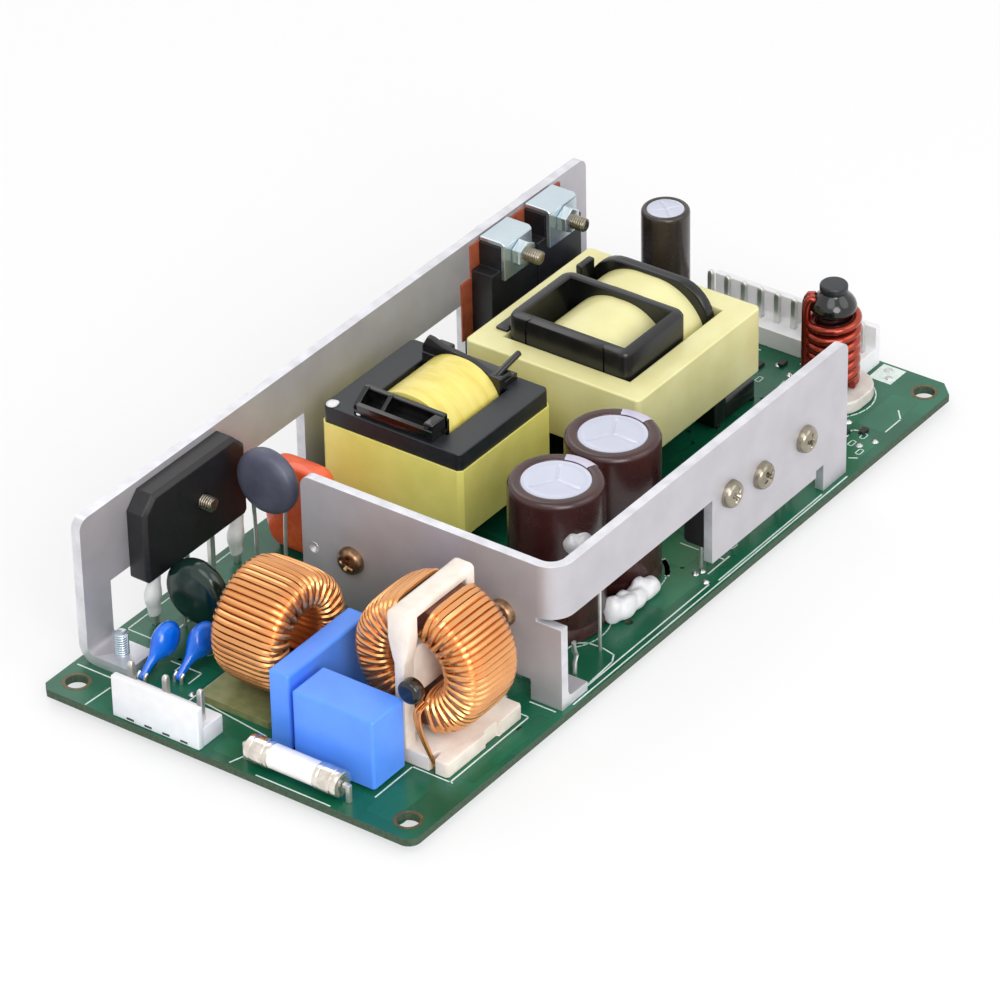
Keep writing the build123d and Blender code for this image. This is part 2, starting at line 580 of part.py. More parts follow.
# Bridge rectifier
with BuildPart() as bridge:
    with BuildSketch(Plane.XZ.offset(HALF_W - LEFT_PLATE_IN)) as face:
        with Locations((BRIDGE_X - HALF_L, BRIDGE_Z)):
            Rectangle(BRIDGE_W, BRIDGE_H, align=(Align.MIN, Align.MIN))
        chamfer(face.vertices().group_by(Axis.Y)[-1], BRIDGE_CHAMFER)
        chamfer(face.vertices().group_by(Axis.Y)[0], BRIDGE_LOW_CHAMFER)
    extrude(amount=BRIDGE_T)
    rim = bridge.faces().sort_by(Axis.Y)[0].edges()
    chamfer(rim, 0.8)
    with Locations(spot(bridge_hole[0], LEFT_PLATE_IN - BRIDGE_T / 2, bridge_hole[1]) * Rotation(90, 0, 0)):
        add(prism(M3_CLEAR_D / 2, BRIDGE_T * 2), mode=Mode.SUBTRACT)
finish(bridge.part, "bridge_rectifier", "bridge rectifier")

BRIDGE_LEAD_Y = LEFT_PLATE_IN - BRIDGE_T / 2
with BuildPart() as bridge_leads:
    for dx in BRIDGE_LEADS:
        with Locations(spot(BRIDGE_X + dx, BRIDGE_LEAD_Y)):
            Box(BRIDGE_LEAD_W, BRIDGE_LEAD_T, BRIDGE_Z - BOARD_T, align=UP)
finish(bridge_leads.part, "rectifier_leads", "rectifier leads")

with BuildPart() as sleeves:
    for dx in (BRIDGE_LEADS[0], BRIDGE_LEADS[-1]):
        with Locations(spot(BRIDGE_X + dx, BRIDGE_LEAD_Y, SLEEVE_FOOT)):
            with Locations((0, 0, (BRIDGE_Z - SLEEVE_FOOT) / 2)):
                add(prism(SLEEVE_D / 2, BRIDGE_Z - SLEEVE_FOOT))
            Box(BRIDGE_LEAD_W, BRIDGE_LEAD_T, BRIDGE_Z - SLEEVE_FOOT, align=UP, mode=Mode.SUBTRACT)
finish(sleeves.part, "lead_sleeves", "lead sleeves")


# Round coated parts
def coated_disc(diameter, thickness):
    """Lens-edged disc standing on edge, axis along X, centred on the origin."""
    with BuildPart(mode=Mode.PRIVATE) as disc:
        with BuildSketch(Plane.YZ.offset(-thickness / 2)):
            RegularPolygon(diameter / 2, ROUND_SIDES)
        extrude(amount=thickness)
        chamfer(disc.faces().filter_by(Axis.X).edges(), thickness * 0.3)
    return disc.part


with BuildPart() as thermistor:
    with Locations(spot(*THERMISTOR_AT, THERMISTOR_Z)):
        add(coated_disc(THERMISTOR_D, THERMISTOR_T))
finish(thermistor.part, "thermistor", "thermistor")

with BuildPart() as varistor:
    with Locations(spot(*VARISTOR_AT, VARISTOR_Z)):
        add(coated_disc(VARISTOR_D, VARISTOR_T))
finish(varistor.part, "varistor", "varistor")


def lead_top(diameter, centre_z):
    """Height where a lead at half the pitch meets the rim of its disc."""
    return centre_z - math.sqrt((diameter / 2) ** 2 - (DISC_LEAD_PITCH / 2) ** 2)


with BuildPart() as film_cap:
    with Locations(spot(*FILM_CAP_AT, FILM_CAP_FOOT)):
        Box(*FILM_CAP, align=CORNER_UP)
    chamfer(film_cap.edges().filter_by(Axis.Z), FILM_CAP_CORNER)
    chamfer(film_cap.faces().sort_by(Axis.Z)[-1].edges(), 1.4)
    chamfer(film_cap.faces().sort_by(Axis.Z)[0].edges(), 1.0)
    for side in (0.14, 0.86):
        with Locations(spot(FILM_CAP_AT[0] + FILM_CAP[0] / 2, FILM_CAP_AT[1] + FILM_CAP[1] * side)):
            Box(0.8, 0.8, FILM_CAP_FOOT - BOARD_T + 0.2, align=UP)
finish(film_cap.part, "film_capacitor", "film capacitor")


def leaning_cap():
    """Blue coated disc with its coating run down to one side, axis along Y."""
    radius = Y_CAP_D / 2
    lean = math.atan2(Y_CAP_TIP[1], Y_CAP_TIP[0])
    touch = math.acos(radius / math.hypot(*Y_CAP_TIP))
    step = 2 * (math.pi - touch) / Y_CAP_SIDES
    turns = [lean + touch + k * step for k in range(Y_CAP_SIDES + 1)]
    rim = [(radius * math.cos(a), radius * math.sin(a)) for a in turns]
    with BuildPart(mode=Mode.PRIVATE) as cap:
        with BuildSketch(Plane.XZ.offset(-Y_CAP_T / 2)) as outline:
            with BuildLine():
                Polyline(Y_CAP_TIP, *rim, close=True)
            make_face()
        extrude(amount=Y_CAP_T)
        chamfer(cap.faces().sort_by(Axis.Y)[0].edges(), Y_CAP_T * 0.25)
        chamfer(cap.faces().sort_by(Axis.Y)[-1].edges(), Y_CAP_T * 0.25)
    return cap.part


with BuildPart() as y_caps:
    with Locations(*[spot(x, y, Y_CAP_Z) for x, y in Y_CAP_SPOTS]):
        add(leaning_cap())
    with Locations(spot(*BACK_Y_CAP_AT, Y_CAP_Z + 1.0)):
        add(coated_disc(Y_CAP_D * 0.66, Y_CAP_T))
    for side in (-1, 1):
        with Locations(spot(BACK_Y_CAP_AT[0], BACK_Y_CAP_AT[1] + side * 1.6)):
            Box(0.8, 0.8, Y_CAP_Z - BOARD_T - 1.0, align=UP)
finish(y_caps.part, "blue_capacitors", "blue ceramic capacitors")

Y_TIP_Z = Y_CAP_Z + Y_CAP_TIP[1]
with BuildPart() as lead_wires:
    for x, y in Y_CAP_SPOTS:
        for side in (-0.8, 0.8):
            tip_x = x + Y_CAP_TIP[0]
            block(tip_x - 0.9, tip_x - 0.1, y + side - 0.35, y + side + 0.35, BOARD_T, Y_TIP_Z + 0.3)
            block(tip_x - 0.9, tip_x + 0.45, y + side - 0.35, y + side + 0.35, Y_TIP_Z - 0.3, Y_TIP_Z + 0.3)
    add(y_caps.part, mode=Mode.SUBTRACT)
    for (x, y), d, z in ((THERMISTOR_AT, THERMISTOR_D, THERMISTOR_Z),
                         (VARISTOR_AT, VARISTOR_D, VARISTOR_Z)):
        for side in (-1, 1):
            with BuildSketch(Plane.XY.offset(BOARD_T)):
                with Locations(flat(x, y + side * DISC_LEAD_PITCH / 2)):
                    RegularPolygon(DISC_LEAD_D / 2, 8)
            extrude(amount=lead_top(d, z) - BOARD_T + DISC_LEAD_D)
    add(thermistor.part, mode=Mode.SUBTRACT)
    add(varistor.part, mode=Mode.SUBTRACT)
finish(lead_wires.part, "lead_wires", "leads of the coated parts")


# Toroid chokes
def toroid_turn(outer_r, hole_r, width, wire, pitch_angle):
    """One wedge-cut turn around a ring of axis Z, standing on the +X side."""
    core_in = (hole_r + wire) / math.cos(math.radians(pitch_angle / 2))
    core_out = outer_r - wire
    half = width / 2
    bevel = wire * 1.6
    with BuildPart(mode=Mode.PRIVATE) as turn:
        with BuildSketch(Plane.XZ) as loop:
            with Locations(((hole_r + outer_r) / 2, 0)):
                Rectangle(outer_r - hole_r, width)
            chamfer(loop.vertices().group_by(Axis.X)[-1], bevel)
            with Locations(((core_in + core_out) / 2, 0)):
                Rectangle(core_out - core_in, width - 2 * wire, mode=Mode.SUBTRACT)
        extrude(amount=outer_r * 0.2, both=True)
        with BuildSketch(Plane.XY.offset(-half)):
            edge = math.radians(pitch_angle / 2) - TURN_GAP / 2 / outer_r
            reach = outer_r * 1.3
            with BuildLine():
                Polyline((0, 0), (reach, reach * math.tan(edge)), (reach, -reach * math.tan(edge)),
                         close=True)
            make_face()
        extrude(amount=width, mode=Mode.INTERSECT)
    return turn.part


def ring_core(outer_r, hole_r, width, wire, pitch_angle):
    """Ring that the turns close around, axis Z, lying on the local origin."""
    core_in = (hole_r + wire) / math.cos(math.radians(pitch_angle / 2))
    with BuildPart(mode=Mode.PRIVATE) as core:
        with BuildSketch(Plane.XY.offset(-width / 2 + wire)):
            Circle(outer_r - wire)
            Circle(core_in / math.cos(math.radians(pitch_angle / 2)), mode=Mode.SUBTRACT)
        extrude(amount=width - 2 * wire)
    return core.part


def fitted_core(outer_r, hole_r, width, wire, turns):
    """The same ring with a flat under every turn of a winding that goes all round."""
    half_pitch = 180.0 / turns
    core_in = (hole_r + wire) / math.cos(math.radians(half_pitch))
    with BuildPart(mode=Mode.PRIVATE) as core:
        with BuildSketch(Plane.XY.offset(-width / 2 + wire)):
            RegularPolygon(outer_r - wire, turns, major_radius=False, rotation=90 + half_pitch)
            RegularPolygon(core_in, turns, major_radius=False, rotation=90 + half_pitch,
                           mode=Mode.SUBTRACT)
        extrude(amount=width - 2 * wire)
    return core.part


LINE_PITCH = 360.0 / LINE_CHOKE_TURNS
LINE_Z = BOARD_T + LINE_BASE_T + LINE_CHOKE_R
line_pose = spot(*LINE_CHOKE_AT, LINE_Z) * Rotation(90, 0, 0)
with BuildPart() as line_winding:
    with Locations(line_pose):
        with PolarLocations(0, LINE_CHOKE_TURNS, start_angle=90):
            add(toroid_turn(LINE_CHOKE_R, LINE_CHOKE_HOLE_R, LINE_CHOKE_W, LINE_WIRE, LINE_PITCH))
finish(line_winding.part, "line_choke_winding", "line choke winding")

with BuildPart() as line_core:
    with Locations(line_pose):
        add(fitted_core(LINE_CHOKE_R, LINE_CHOKE_HOLE_R, LINE_CHOKE_W, LINE_WIRE, LINE_CHOKE_TURNS))
finish(line_core.part, "line_choke_core", "line choke core")

with BuildPart() as line_base:
    with BuildSketch(Plane.XY.offset(BOARD_T)) as plate:
        with Locations(flat(LINE_CHOKE_AT[0] + 1.0, LINE_CHOKE_AT[1] + 1.2)):
            Rectangle(*LINE_BASE)
        chamfer(plate.vertices(), 1.0)
    extrude(amount=LINE_BASE_T)
finish(line_base.part, "line_choke_base", "line choke base")

MODE_PITCH = 2 * MODE_CHOKE_HALF_ARC / MODE_CHOKE_TURNS
MODE_Z = BOARD_T + MODE_BASE_T + MODE_CHOKE_R
mode_pose = spot(*MODE_CHOKE_AT, MODE_Z) * Rotation(0, 90, 0) * Rotation(0, 0, 90)
FIRST_TURN = -MODE_CHOKE_HALF_ARC + MODE_PITCH / 2


def half_winding(start):
    """Turns of one half of the two-winding choke, from the given angle on."""
    with BuildPart(mode=Mode.PRIVATE) as half:
        with PolarLocations(0, MODE_CHOKE_TURNS, start_angle=start,
                            angular_range=MODE_PITCH * (MODE_CHOKE_TURNS - 1), endpoint=True):
            add(toroid_turn(MODE_CHOKE_R, MODE_CHOKE_HOLE_R, MODE_CHOKE_W, MODE_WIRE, MODE_PITCH))
    return half.part


with BuildPart() as mode_left:
    with Locations(mode_pose):
        add(half_winding(FIRST_TURN))
finish(mode_left.part, "mode_choke_left_winding", "mode choke left winding")

with BuildPart() as mode_right:
    with Locations(mode_pose):
        add(half_winding(FIRST_TURN + 180))
finish(mode_right.part, "mode_choke_right_winding", "mode choke right winding")

with BuildPart() as mode_core:
    with Locations(mode_pose):
        add(ring_core(MODE_CHOKE_R, MODE_CHOKE_HOLE_R, MODE_CHOKE_W, MODE_WIRE, MODE_PITCH))
finish(mode_core.part, "mode_choke_core", "mode choke core")

# white frame: base with a lead notch and the wall that parts the windings
with BuildPart() as mode_frame:
    bx, by = MODE_CHOKE_AT
    with BuildSketch(Plane.XY.offset(BOARD_T)) as base:
        with Locations(flat(bx + 0.4, by + 1.2)):
            Rectangle(*MODE_BASE)
        fillet(base.vertices(), 1.6)
        with Locations(flat(MODE_WALL_X[0], by - MODE_WALL_T / 2 - 1.4)):
            Rectangle(4.0, 1.8, mode=Mode.SUBTRACT)
    extrude(amount=MODE_BASE_T)
    wall_y0 = by - MODE_WALL_T / 2
    block(MODE_WALL_X[0], MODE_WALL_X[1], wall_y0, wall_y0 + MODE_WALL_T, BOARD_T, MODE_WALL_TOP)
    top_edges = mode_frame.edges().filter_by(Axis.Y).group_by(Axis.Z)[-1]
    chamfer(top_edges, 2.0)
    add(mode_core.part, mode=Mode.SUBTRACT)
finish(mode_frame.part, "mode_choke_frame", "mode choke frame")

with BuildPart() as mode_bead:
    bead_x = MODE_WALL_X[0] - MODE_BEAD_L / 2
    with Locations(spot(bead_x, wall_y0 - MODE_BEAD_SIDE, MODE_BEAD_Z) * Rotation(0, 90, 0)):
        add(prism(MODE_BEAD_D / 2, MODE_BEAD_L, ROD_SIDES))
    chamfer(mode_bead.faces().filter_by(Axis.X).edges(), 0.5)
finish(mode_bead.part, "mode_choke_bead", "mode choke bead")


# Film capacitors in boxes
def boxed_cap(size, place):
    """Rectangular moulded case on four short stand-off feet."""
    with BuildPart(mode=Mode.PRIVATE) as case:
        with Locations(spot(*place, BOARD_T + X_CAP_FOOT)):
            Box(size[0], size[1], size[2] - X_CAP_FOOT, align=CORNER_UP)
        chamfer(case.edges().filter_by(Axis.Z), X_CAP_EDGE)
        chamfer(case.faces().sort_by(Axis.Z)[-1].edges(), X_CAP_EDGE)
        for px in (0.7, size[0] - 1.9):
            for py in (0.7, size[1] - 1.9):
                with Locations(spot(place[0] + px, place[1] + py)):
                    Box(1.2, 1.2, X_CAP_FOOT, align=CORNER_UP)
    return case.part


with BuildPart() as tall_cap:
    add(boxed_cap(TALL_X_CAP, TALL_X_CAP_AT))
finish(tall_cap.part, "tall_box_capacitor", "tall box capacitor")

with BuildPart() as low_cap:
    add(boxed_cap(LOW_X_CAP, LOW_X_CAP_AT))
finish(low_cap.part, "low_box_capacitor", "low box capacitor")

# Fuse
FUSE_Z = BOARD_T + FUSE_LIFT + FUSE_D / 2
FUSE_MID = (FUSE_Y[0] + FUSE_Y[1]) / 2
FUSE_LEN = FUSE_Y[1] - FUSE_Y[0]
fuse_pose = spot(FUSE_X, FUSE_MID, FUSE_Z) * Rotation(90, 0, 0)
with BuildPart() as fuse_body:
    with Locations(fuse_pose):
        add(prism(FUSE_D / 2 - FUSE_CAP_T, FUSE_LEN - 2 * FUSE_CAP_T, FUSE_SIDES))
finish(fuse_body.part, "fuse_body", "fuse body")

with BuildPart() as fuse_caps:
    with Locations(fuse_pose):
        for side in (-1, 1):
            with Locations((0, 0, side * (FUSE_LEN - FUSE_CAP_L) / 2)):
                add(prism(FUSE_D / 2, FUSE_CAP_L, FUSE_SIDES))
    add(fuse_body.part, mode=Mode.SUBTRACT)
finish(fuse_caps.part, "fuse_caps", "fuse caps")

with BuildPart() as fuse_leads:
    for y, step in ((FUSE_Y[0], -1), (FUSE_Y[1], 1)):
        reach = 1.6
        lead_r = FUSE_LEAD_D / 2
        with Locations(spot(FUSE_X, y + step * reach / 2, FUSE_Z)):
            Box(FUSE_LEAD_D, reach, FUSE_LEAD_D)
        with Locations(spot(FUSE_X, y + step * (reach - lead_r), BOARD_T)):
            Box(FUSE_LEAD_D, FUSE_LEAD_D, FUSE_Z - BOARD_T + lead_r, align=UP)
finish(fuse_leads.part, "fuse_leads", "fuse leads")


# Wire-to-board headers
def header(count, wall_x):
    """Header housing from its corner; the locking wall stands at wall_x."""
    length = count * HEADER_PITCH
    with BuildPart(mode=Mode.PRIVATE) as shell:
        Box(HEADER_DEPTH, length, HEADER_BASE_H, align=CORNER_UP)
        with Locations((wall_x, 0, 0)):
            Box(HEADER_WALL_T, length - 1.6, HEADER_WALL_H, align=CORNER_UP)
        for k in range(count):
            with Locations((HEADER_DEPTH / 2, (k + 0.5) * HEADER_PITCH, HEADER_BASE_H)):
                Box(HEADER_PIN, HEADER_PIN, 2 * HEADER_BASE_H, mode=Mode.SUBTRACT)
        for k in range(count - 1):
            with Locations((wall_x + HEADER_WALL_T / 2, (k + 1) * HEADER_PITCH, 0)):
                Box(HEADER_WALL_T * 1.2, 1.6, 1.0, align=UP, mode=Mode.SUBTRACT)
    return shell.part


with BuildPart() as ac_header:
    with Locations(spot(*AC_HEADER_AT)):
        add(header(AC_HEADER_COUNT, 0))
    with Locations(spot(AC_HEADER_AT[0], AC_HEADER_AT[1], BOARD_T + HEADER_BASE_H)):
        Box(HEADER_WALL_T, 1.7, HEADER_WALL_H, align=CORNER_UP, mode=Mode.SUBTRACT)
finish(ac_header.part, "input_header", "input header")

with BuildPart() as out_header:
    with Locations(spot(*OUT_HEADER_AT)):
        add(header(OUT_HEADER_COUNT, HEADER_DEPTH - HEADER_WALL_T))
finish(out_header.part, "output_header", "output header")

PIN_H = HEADER_PIN_TOP - BOARD_T
with BuildPart() as ac_pins:
    for k in range(0, AC_HEADER_COUNT, 2):
        with Locations(spot(AC_HEADER_AT[0] + HEADER_DEPTH / 2,
                            AC_HEADER_AT[1] + (k + 0.5) * HEADER_PITCH)):
            Box(HEADER_PIN, HEADER_PIN, PIN_H, align=UP)
    chamfer(ac_pins.faces().group_by(Axis.Z)[-1].edges(), HEADER_PIN * 0.3)
finish(ac_pins.part, "input_header_pins", "input header pins")

with BuildPart() as out_pins:
    for k in range(OUT_HEADER_COUNT):
        with Locations(spot(OUT_HEADER_AT[0] + HEADER_DEPTH / 2,
                            OUT_HEADER_AT[1] + (k + 0.5) * HEADER_PITCH)):
            Box(HEADER_PIN, HEADER_PIN, PIN_H, align=UP)
    chamfer(out_pins.faces().group_by(Axis.Z)[-1].edges(), HEADER_PIN * 0.3)
finish(out_pins.part, "output_header_pins", "output header pins")


# Wound ferrites lying flat
def flat_core(size, leg, end, centre_leg, z0, z1):
    """Core loop with a middle leg along X, centred on the origin in plan."""
    with BuildPart(mode=Mode.PRIVATE) as core:
        with BuildSketch(Plane.XY.offset(z0)) as plan:
            Rectangle(*size)
            chamfer(plan.vertices(), CORE_CORNER)
            Rectangle(size[0] - 2 * end, size[1] - 2 * leg, mode=Mode.SUBTRACT)
        extrude(amount=z1 - z0)
        mid = (z0 + z1) / 2
        with Locations((0, 0, mid)):
            Box(size[0] - 2 * end, centre_leg, centre_leg)
    return core.part


inductor_pose = spot(*INDUCTOR_AT, 0)
IND_Z0, IND_Z1 = INDUCTOR_CORE_Z
IND_MID = (IND_Z0 + IND_Z1) / 2
IND_WINDOW = (INDUCTOR_CORE[0] - 2 * INDUCTOR_END, INDUCTOR_CORE[1] - 2 * INDUCTOR_LEG)
with BuildPart() as inductor_core:
    with Locations(inductor_pose):
        add(flat_core(INDUCTOR_CORE, INDUCTOR_LEG, INDUCTOR_END, INDUCTOR_CENTRE_LEG, IND_Z0, IND_Z1))
finish(inductor_core.part, "inductor_core", "inductor core")

with BuildPart() as inductor_tape:
    with BuildSketch(Plane.XY.offset(IND_Z0)) as band:
        with Locations(flat(*INDUCTOR_AT)):
            Rectangle(INDUCTOR_CORE[0] + 2 * TAPE_T, INDUCTOR_CORE[1] + 2 * TAPE_T)
        chamfer(band.vertices(), CORE_CORNER + TAPE_T * (2 - math.sqrt(2)))
    extrude(amount=INDUCTOR_TAPE_TOP - IND_Z0)
    with BuildSketch(Plane.XY.offset(IND_Z0)) as hole:
        with Locations(flat(*INDUCTOR_AT)):
            Rectangle(*INDUCTOR_CORE)
        chamfer(hole.vertices(), CORE_CORNER)
    extrude(amount=INDUCTOR_TAPE_TOP - IND_Z0, mode=Mode.SUBTRACT)
finish(inductor_tape.part, "inductor_tape", "inductor tape")

IND_COIL_L = IND_WINDOW[0] - 2 * FLANGE_T
IND_COIL_W = IND_WINDOW[1] - 1.0


def coil_section(width, height, leg):
    """Rounded coil outline with the square hole for its bobbin tube."""
    with BuildSketch(Plane.YZ, mode=Mode.PRIVATE) as outline:
        Rectangle(width, height)
        fillet(outline.vertices(), min(width, height) / 2 - 0.6)
        Rectangle(leg, leg, mode=Mode.SUBTRACT)
    return outline.sketch_local


with BuildPart() as inductor_coil:
    tube = INDUCTOR_CENTRE_LEG + 2 * FLANGE_T
    with BuildSketch(Plane.YZ):
        add(coil_section(IND_COIL_W, INDUCTOR_COIL_H, tube))
    extrude(amount=IND_COIL_L / 2, both=True)
with BuildPart() as inductor_winding:
    with Locations(spot(*INDUCTOR_AT, IND_MID)):
        add(inductor_coil.part)
finish(inductor_winding.part, "inductor_winding", "inductor winding")

with BuildPart() as inductor_bobbin:
    cx, cy = INDUCTOR_AT
    top = IND_Z1 + 3.0
    with Locations(spot(cx, cy, IND_MID)):
        Box(IND_WINDOW[0], tube, tube)
        Box(IND_WINDOW[0], INDUCTOR_CENTRE_LEG, INDUCTOR_CENTRE_LEG, mode=Mode.SUBTRACT)
    inner0 = cx - IND_WINDOW[0] / 2
    inner1 = cx + IND_WINDOW[0] / 2
    w0 = cy - IND_COIL_W / 2
    w1 = cy + IND_COIL_W / 2
    for x0 in (inner0, inner1 - FLANGE_T):
        block(x0, x0 + FLANGE_T, w0, w1, BOARD_T + 1.0, top)
        with Locations(spot(x0 + FLANGE_T / 2, cy, IND_MID)):
            Box(FLANGE_T * 2, INDUCTOR_CENTRE_LEG, INDUCTOR_CENTRE_LEG, mode=Mode.SUBTRACT)
    # collars lying on the core ends, and the pin rails under it
    block(inner0 - INDUCTOR_END + 0.6, inner0 + FLANGE_T, w0, w1, IND_Z1, IND_Z1 + 1.6)
    block(inner1 - FLANGE_T, inner1 + INDUCTOR_END - 0.6, w0, w1, IND_Z1, IND_Z1 + 1.6)
    half_rail = INDUCTOR_RAIL_L / 2
    for x0 in (inner0 - INDUCTOR_END, inner1 - FLANGE_T):
        block(x0, x0 + INDUCTOR_END + FLANGE_T, cy - half_rail, cy + half_rail, BOARD_T, IND_Z0)
    # wedge ribs on the front collar and the lead post at the rear
    for step in (0.0, 0.34, 0.68):
        block(inner0 - INDUCTOR_END + 0.6, inner0 + FLANGE_T, w1 - 1.4 - step * IND_COIL_W,
              w1 - step * IND_COIL_W, IND_Z1 + 1.6, top + 1.0)
    block(inner1 - FLANGE_T, inner1 + INDUCTOR_END + 2.0, w0 + 1.0, w0 + 2.6, IND_Z1 + 1.6, top + 0.6)
finish(inductor_bobbin.part, "inductor_bobbin", "inductor bobbin")

TR_Z0, TR_Z1 = TRANSFORMER_CORE_Z
TR_MID = (TR_Z0 + TR_Z1) / 2
TR_WINDOW = (TRANSFORMER_CORE[0] - 2 * TRANSFORMER_END, TRANSFORMER_CORE[1] - 2 * TRANSFORMER_LEG)
TR_COIL_W = TR_WINDOW[1] - 1.2
TR_TUBE = TRANSFORMER_CENTRE_LEG + 2 * FLANGE_T
with BuildPart() as transformer_core:
    with Locations(spot(*TRANSFORMER_AT, 0)):
        add(flat_core(TRANSFORMER_CORE, TRANSFORMER_LEG, TRANSFORMER_END, TRANSFORMER_CENTRE_LEG,
                      TR_Z0, TR_Z1))
finish(transformer_core.part, "transformer_core", "taped transformer core")

tx, ty = TRANSFORMER_AT
TR_IN0 = tx - TR_WINDOW[0] / 2
TR_IN1 = tx + TR_WINDOW[0] / 2
BOX_X0 = TR_IN0
BOX_X1 = BOX_X0 + TRANSFORMER_BOX_L
REAR_X0 = BOX_X1
REAR_X1 = REAR_X0 + TRANSFORMER_REAR_COIL_L
TR_HALF_H = TRANSFORMER_TOP - TR_MID
with BuildPart() as front_coil:
    with BuildSketch(Plane.YZ.offset(BOX_X0 + TRANSFORMER_BOX_WALL - HALF_L)):
        with Locations((ty - HALF_W, TR_MID)):
            add(coil_section(TR_COIL_W - 2 * TRANSFORMER_BOX_WALL, 2 * TR_HALF_H - 2.4, TR_TUBE))
    extrude(amount=TRANSFORMER_BOX_L - 2 * TRANSFORMER_BOX_WALL)
finish(front_coil.part, "transformer_front_winding", "transformer front winding")

with BuildPart() as rear_coil:
    with BuildSketch(Plane.YZ.offset(REAR_X0 - HALF_L)):
        with Locations((ty - HALF_W, TR_MID)):
            add(coil_section(TR_COIL_W - 1.0, 2 * TR_HALF_H - 0.8, TR_TUBE))
    extrude(amount=TRANSFORMER_REAR_COIL_L)
finish(rear_coil.part, "transformer_rear_winding", "transformer rear winding")

with BuildPart() as transformer_bobbin:
    y0 = ty - TR_COIL_W / 2
    y1 = ty + TR_COIL_W / 2
    low = TR_MID - TR_HALF_H
    # open box around the front coil, above and below the core
    block(BOX_X0, BOX_X1, y0, y1, low, TRANSFORMER_TOP)
    block(BOX_X0 + TRANSFORMER_BOX_WALL, BOX_X1 - TRANSFORMER_BOX_WALL,
          y0 + TRANSFORMER_BOX_WALL, y1 - TRANSFORMER_BOX_WALL, low - 1, TRANSFORMER_TOP + 1, Mode.SUBTRACT)
    with Locations(spot((BOX_X0 + REAR_X1) / 2, ty, TR_MID)):
        Box(REAR_X1 - BOX_X0, TR_TUBE, TR_TUBE)
    # round-topped rear flange
    with BuildSketch(Plane.YZ.offset(REAR_X1 - HALF_L)) as disc:
        with Locations((ty - HALF_W, TR_MID)):
            Rectangle(TR_COIL_W, 2 * TR_HALF_H + 0.8)
        fillet(disc.vertices(), TR_HALF_H * 0.62)
    extrude(amount=FLANGE_T * 1.5)
    with Locations(spot((TR_IN0 + TR_IN1) / 2, ty, TR_MID)):
        Box(TR_WINDOW[0], TRANSFORMER_CENTRE_LEG, TRANSFORMER_CENTRE_LEG, mode=Mode.SUBTRACT)
    # slots down the outside of the box
    for x in (BOX_X0 + 4.2, BOX_X1 - 4.2):
        block(x - 0.5, x + 0.5, y0 - 0.1, y0 + 0.9, TR_Z1 + 0.6, TRANSFORMER_TOP + 1, Mode.SUBTRACT)
        block(x - 0.5, x + 0.5, y1 - 0.9, y1 + 0.1, TR_Z1 + 0.6, TRANSFORMER_TOP + 1, Mode.SUBTRACT)
    for y in (y0 + 5.0, y1 - 5.0):
        block(BOX_X0 - 0.1, BOX_X0 + 0.9, y - 0.5, y + 0.5, TR_Z1 + 0.6, TRANSFORMER_TOP + 1, Mode.SUBTRACT)
    # pin rails on the board at both ends
    half_rail = TRANSFORMER_RAIL[1] / 2
    rail_top = BOARD_T + TRANSFORMER_RAIL_H
    block(BOX_X0 - 6.0, BOX_X0 + 3.0, ty - half_rail, ty + half_rail, BOARD_T + 0.6, rail_top + 2.0)
    block(BOX_X0 - 6.0, BOX_X0 - 5.0, ty - half_rail, ty + half_rail, BOARD_T, BOARD_T + 0.6)
    rear0 = REAR_X1
    block(rear0, rear0 + 4.0, ty - half_rail, ty + half_rail, BOARD_T + 0.6, low + 6.0)
    block(rear0 + 4.0, rear0 + 4.0 + TRANSFORMER_RAIL[0], ty - half_rail, ty + half_rail,
          BOARD_T + 0.6, rail_top)
    for x in (rear0 + 1.0, rear0 + 3.0 + TRANSFORMER_RAIL[0]):
        block(x, x + 1.0, ty - half_rail, ty + half_rail, BOARD_T, BOARD_T + 0.6)
    add(transformer_core.part, mode=Mode.SUBTRACT)
    add(front_coil.part, mode=Mode.SUBTRACT)
    add(rear_coil.part, mode=Mode.SUBTRACT)
finish(transformer_bobbin.part, "transformer_bobbin", "transformer bobbin")


# Electrolytic capacitors
def sleeve_shell(diameter, z0, z1, window):
    """Printed sleeve shrunk over the can, rolled over the top rim."""
    with BuildPart(mode=Mode.PRIVATE) as shell:
        with BuildSketch(Plane.XY.offset(z0)):
            RegularPolygon(diameter / 2, ROUND_SIDES)
        extrude(amount=z1 - z0)
        chamfer(shell.edges().group_by(Axis.Z)[-1], diameter * 0.045)
        with BuildSketch(Plane.XY.offset(z0)):
            RegularPolygon(diameter / 2 - SLEEVE_T, ROUND_SIDES)
        extrude(amount=z1 - z0 - SLEEVE_T * 2, mode=Mode.SUBTRACT)
        with BuildSketch(Plane.XY.offset(z0)):
            RegularPolygon(diameter / 2 * window, ROUND_SIDES)
        extrude(amount=z1 - z0, mode=Mode.SUBTRACT)
    return shell.part


def can_body(diameter, z0, z1, window):
    """Aluminium can that fills the sleeve, with its scored vent."""
    with BuildPart(mode=Mode.PRIVATE) as can:
        with BuildSketch(Plane.XY.offset(z0)):
            RegularPolygon(diameter / 2 - SLEEVE_T, ROUND_SIDES)
        extrude(amount=z1 - z0 - SLEEVE_T * 2)
        with BuildSketch(Plane.XY.offset(z1 - SLEEVE_T * 2)):
            RegularPolygon(diameter / 2 * window, ROUND_SIDES)
        extrude(amount=SLEEVE_T)
        with Locations((0, 0, z1 - SLEEVE_T)):
            with PolarLocations(diameter * window * 0.2, 3):
                Box(diameter * window * 0.4, diameter * 0.018, 0.3, mode=Mode.SUBTRACT)
    return can.part


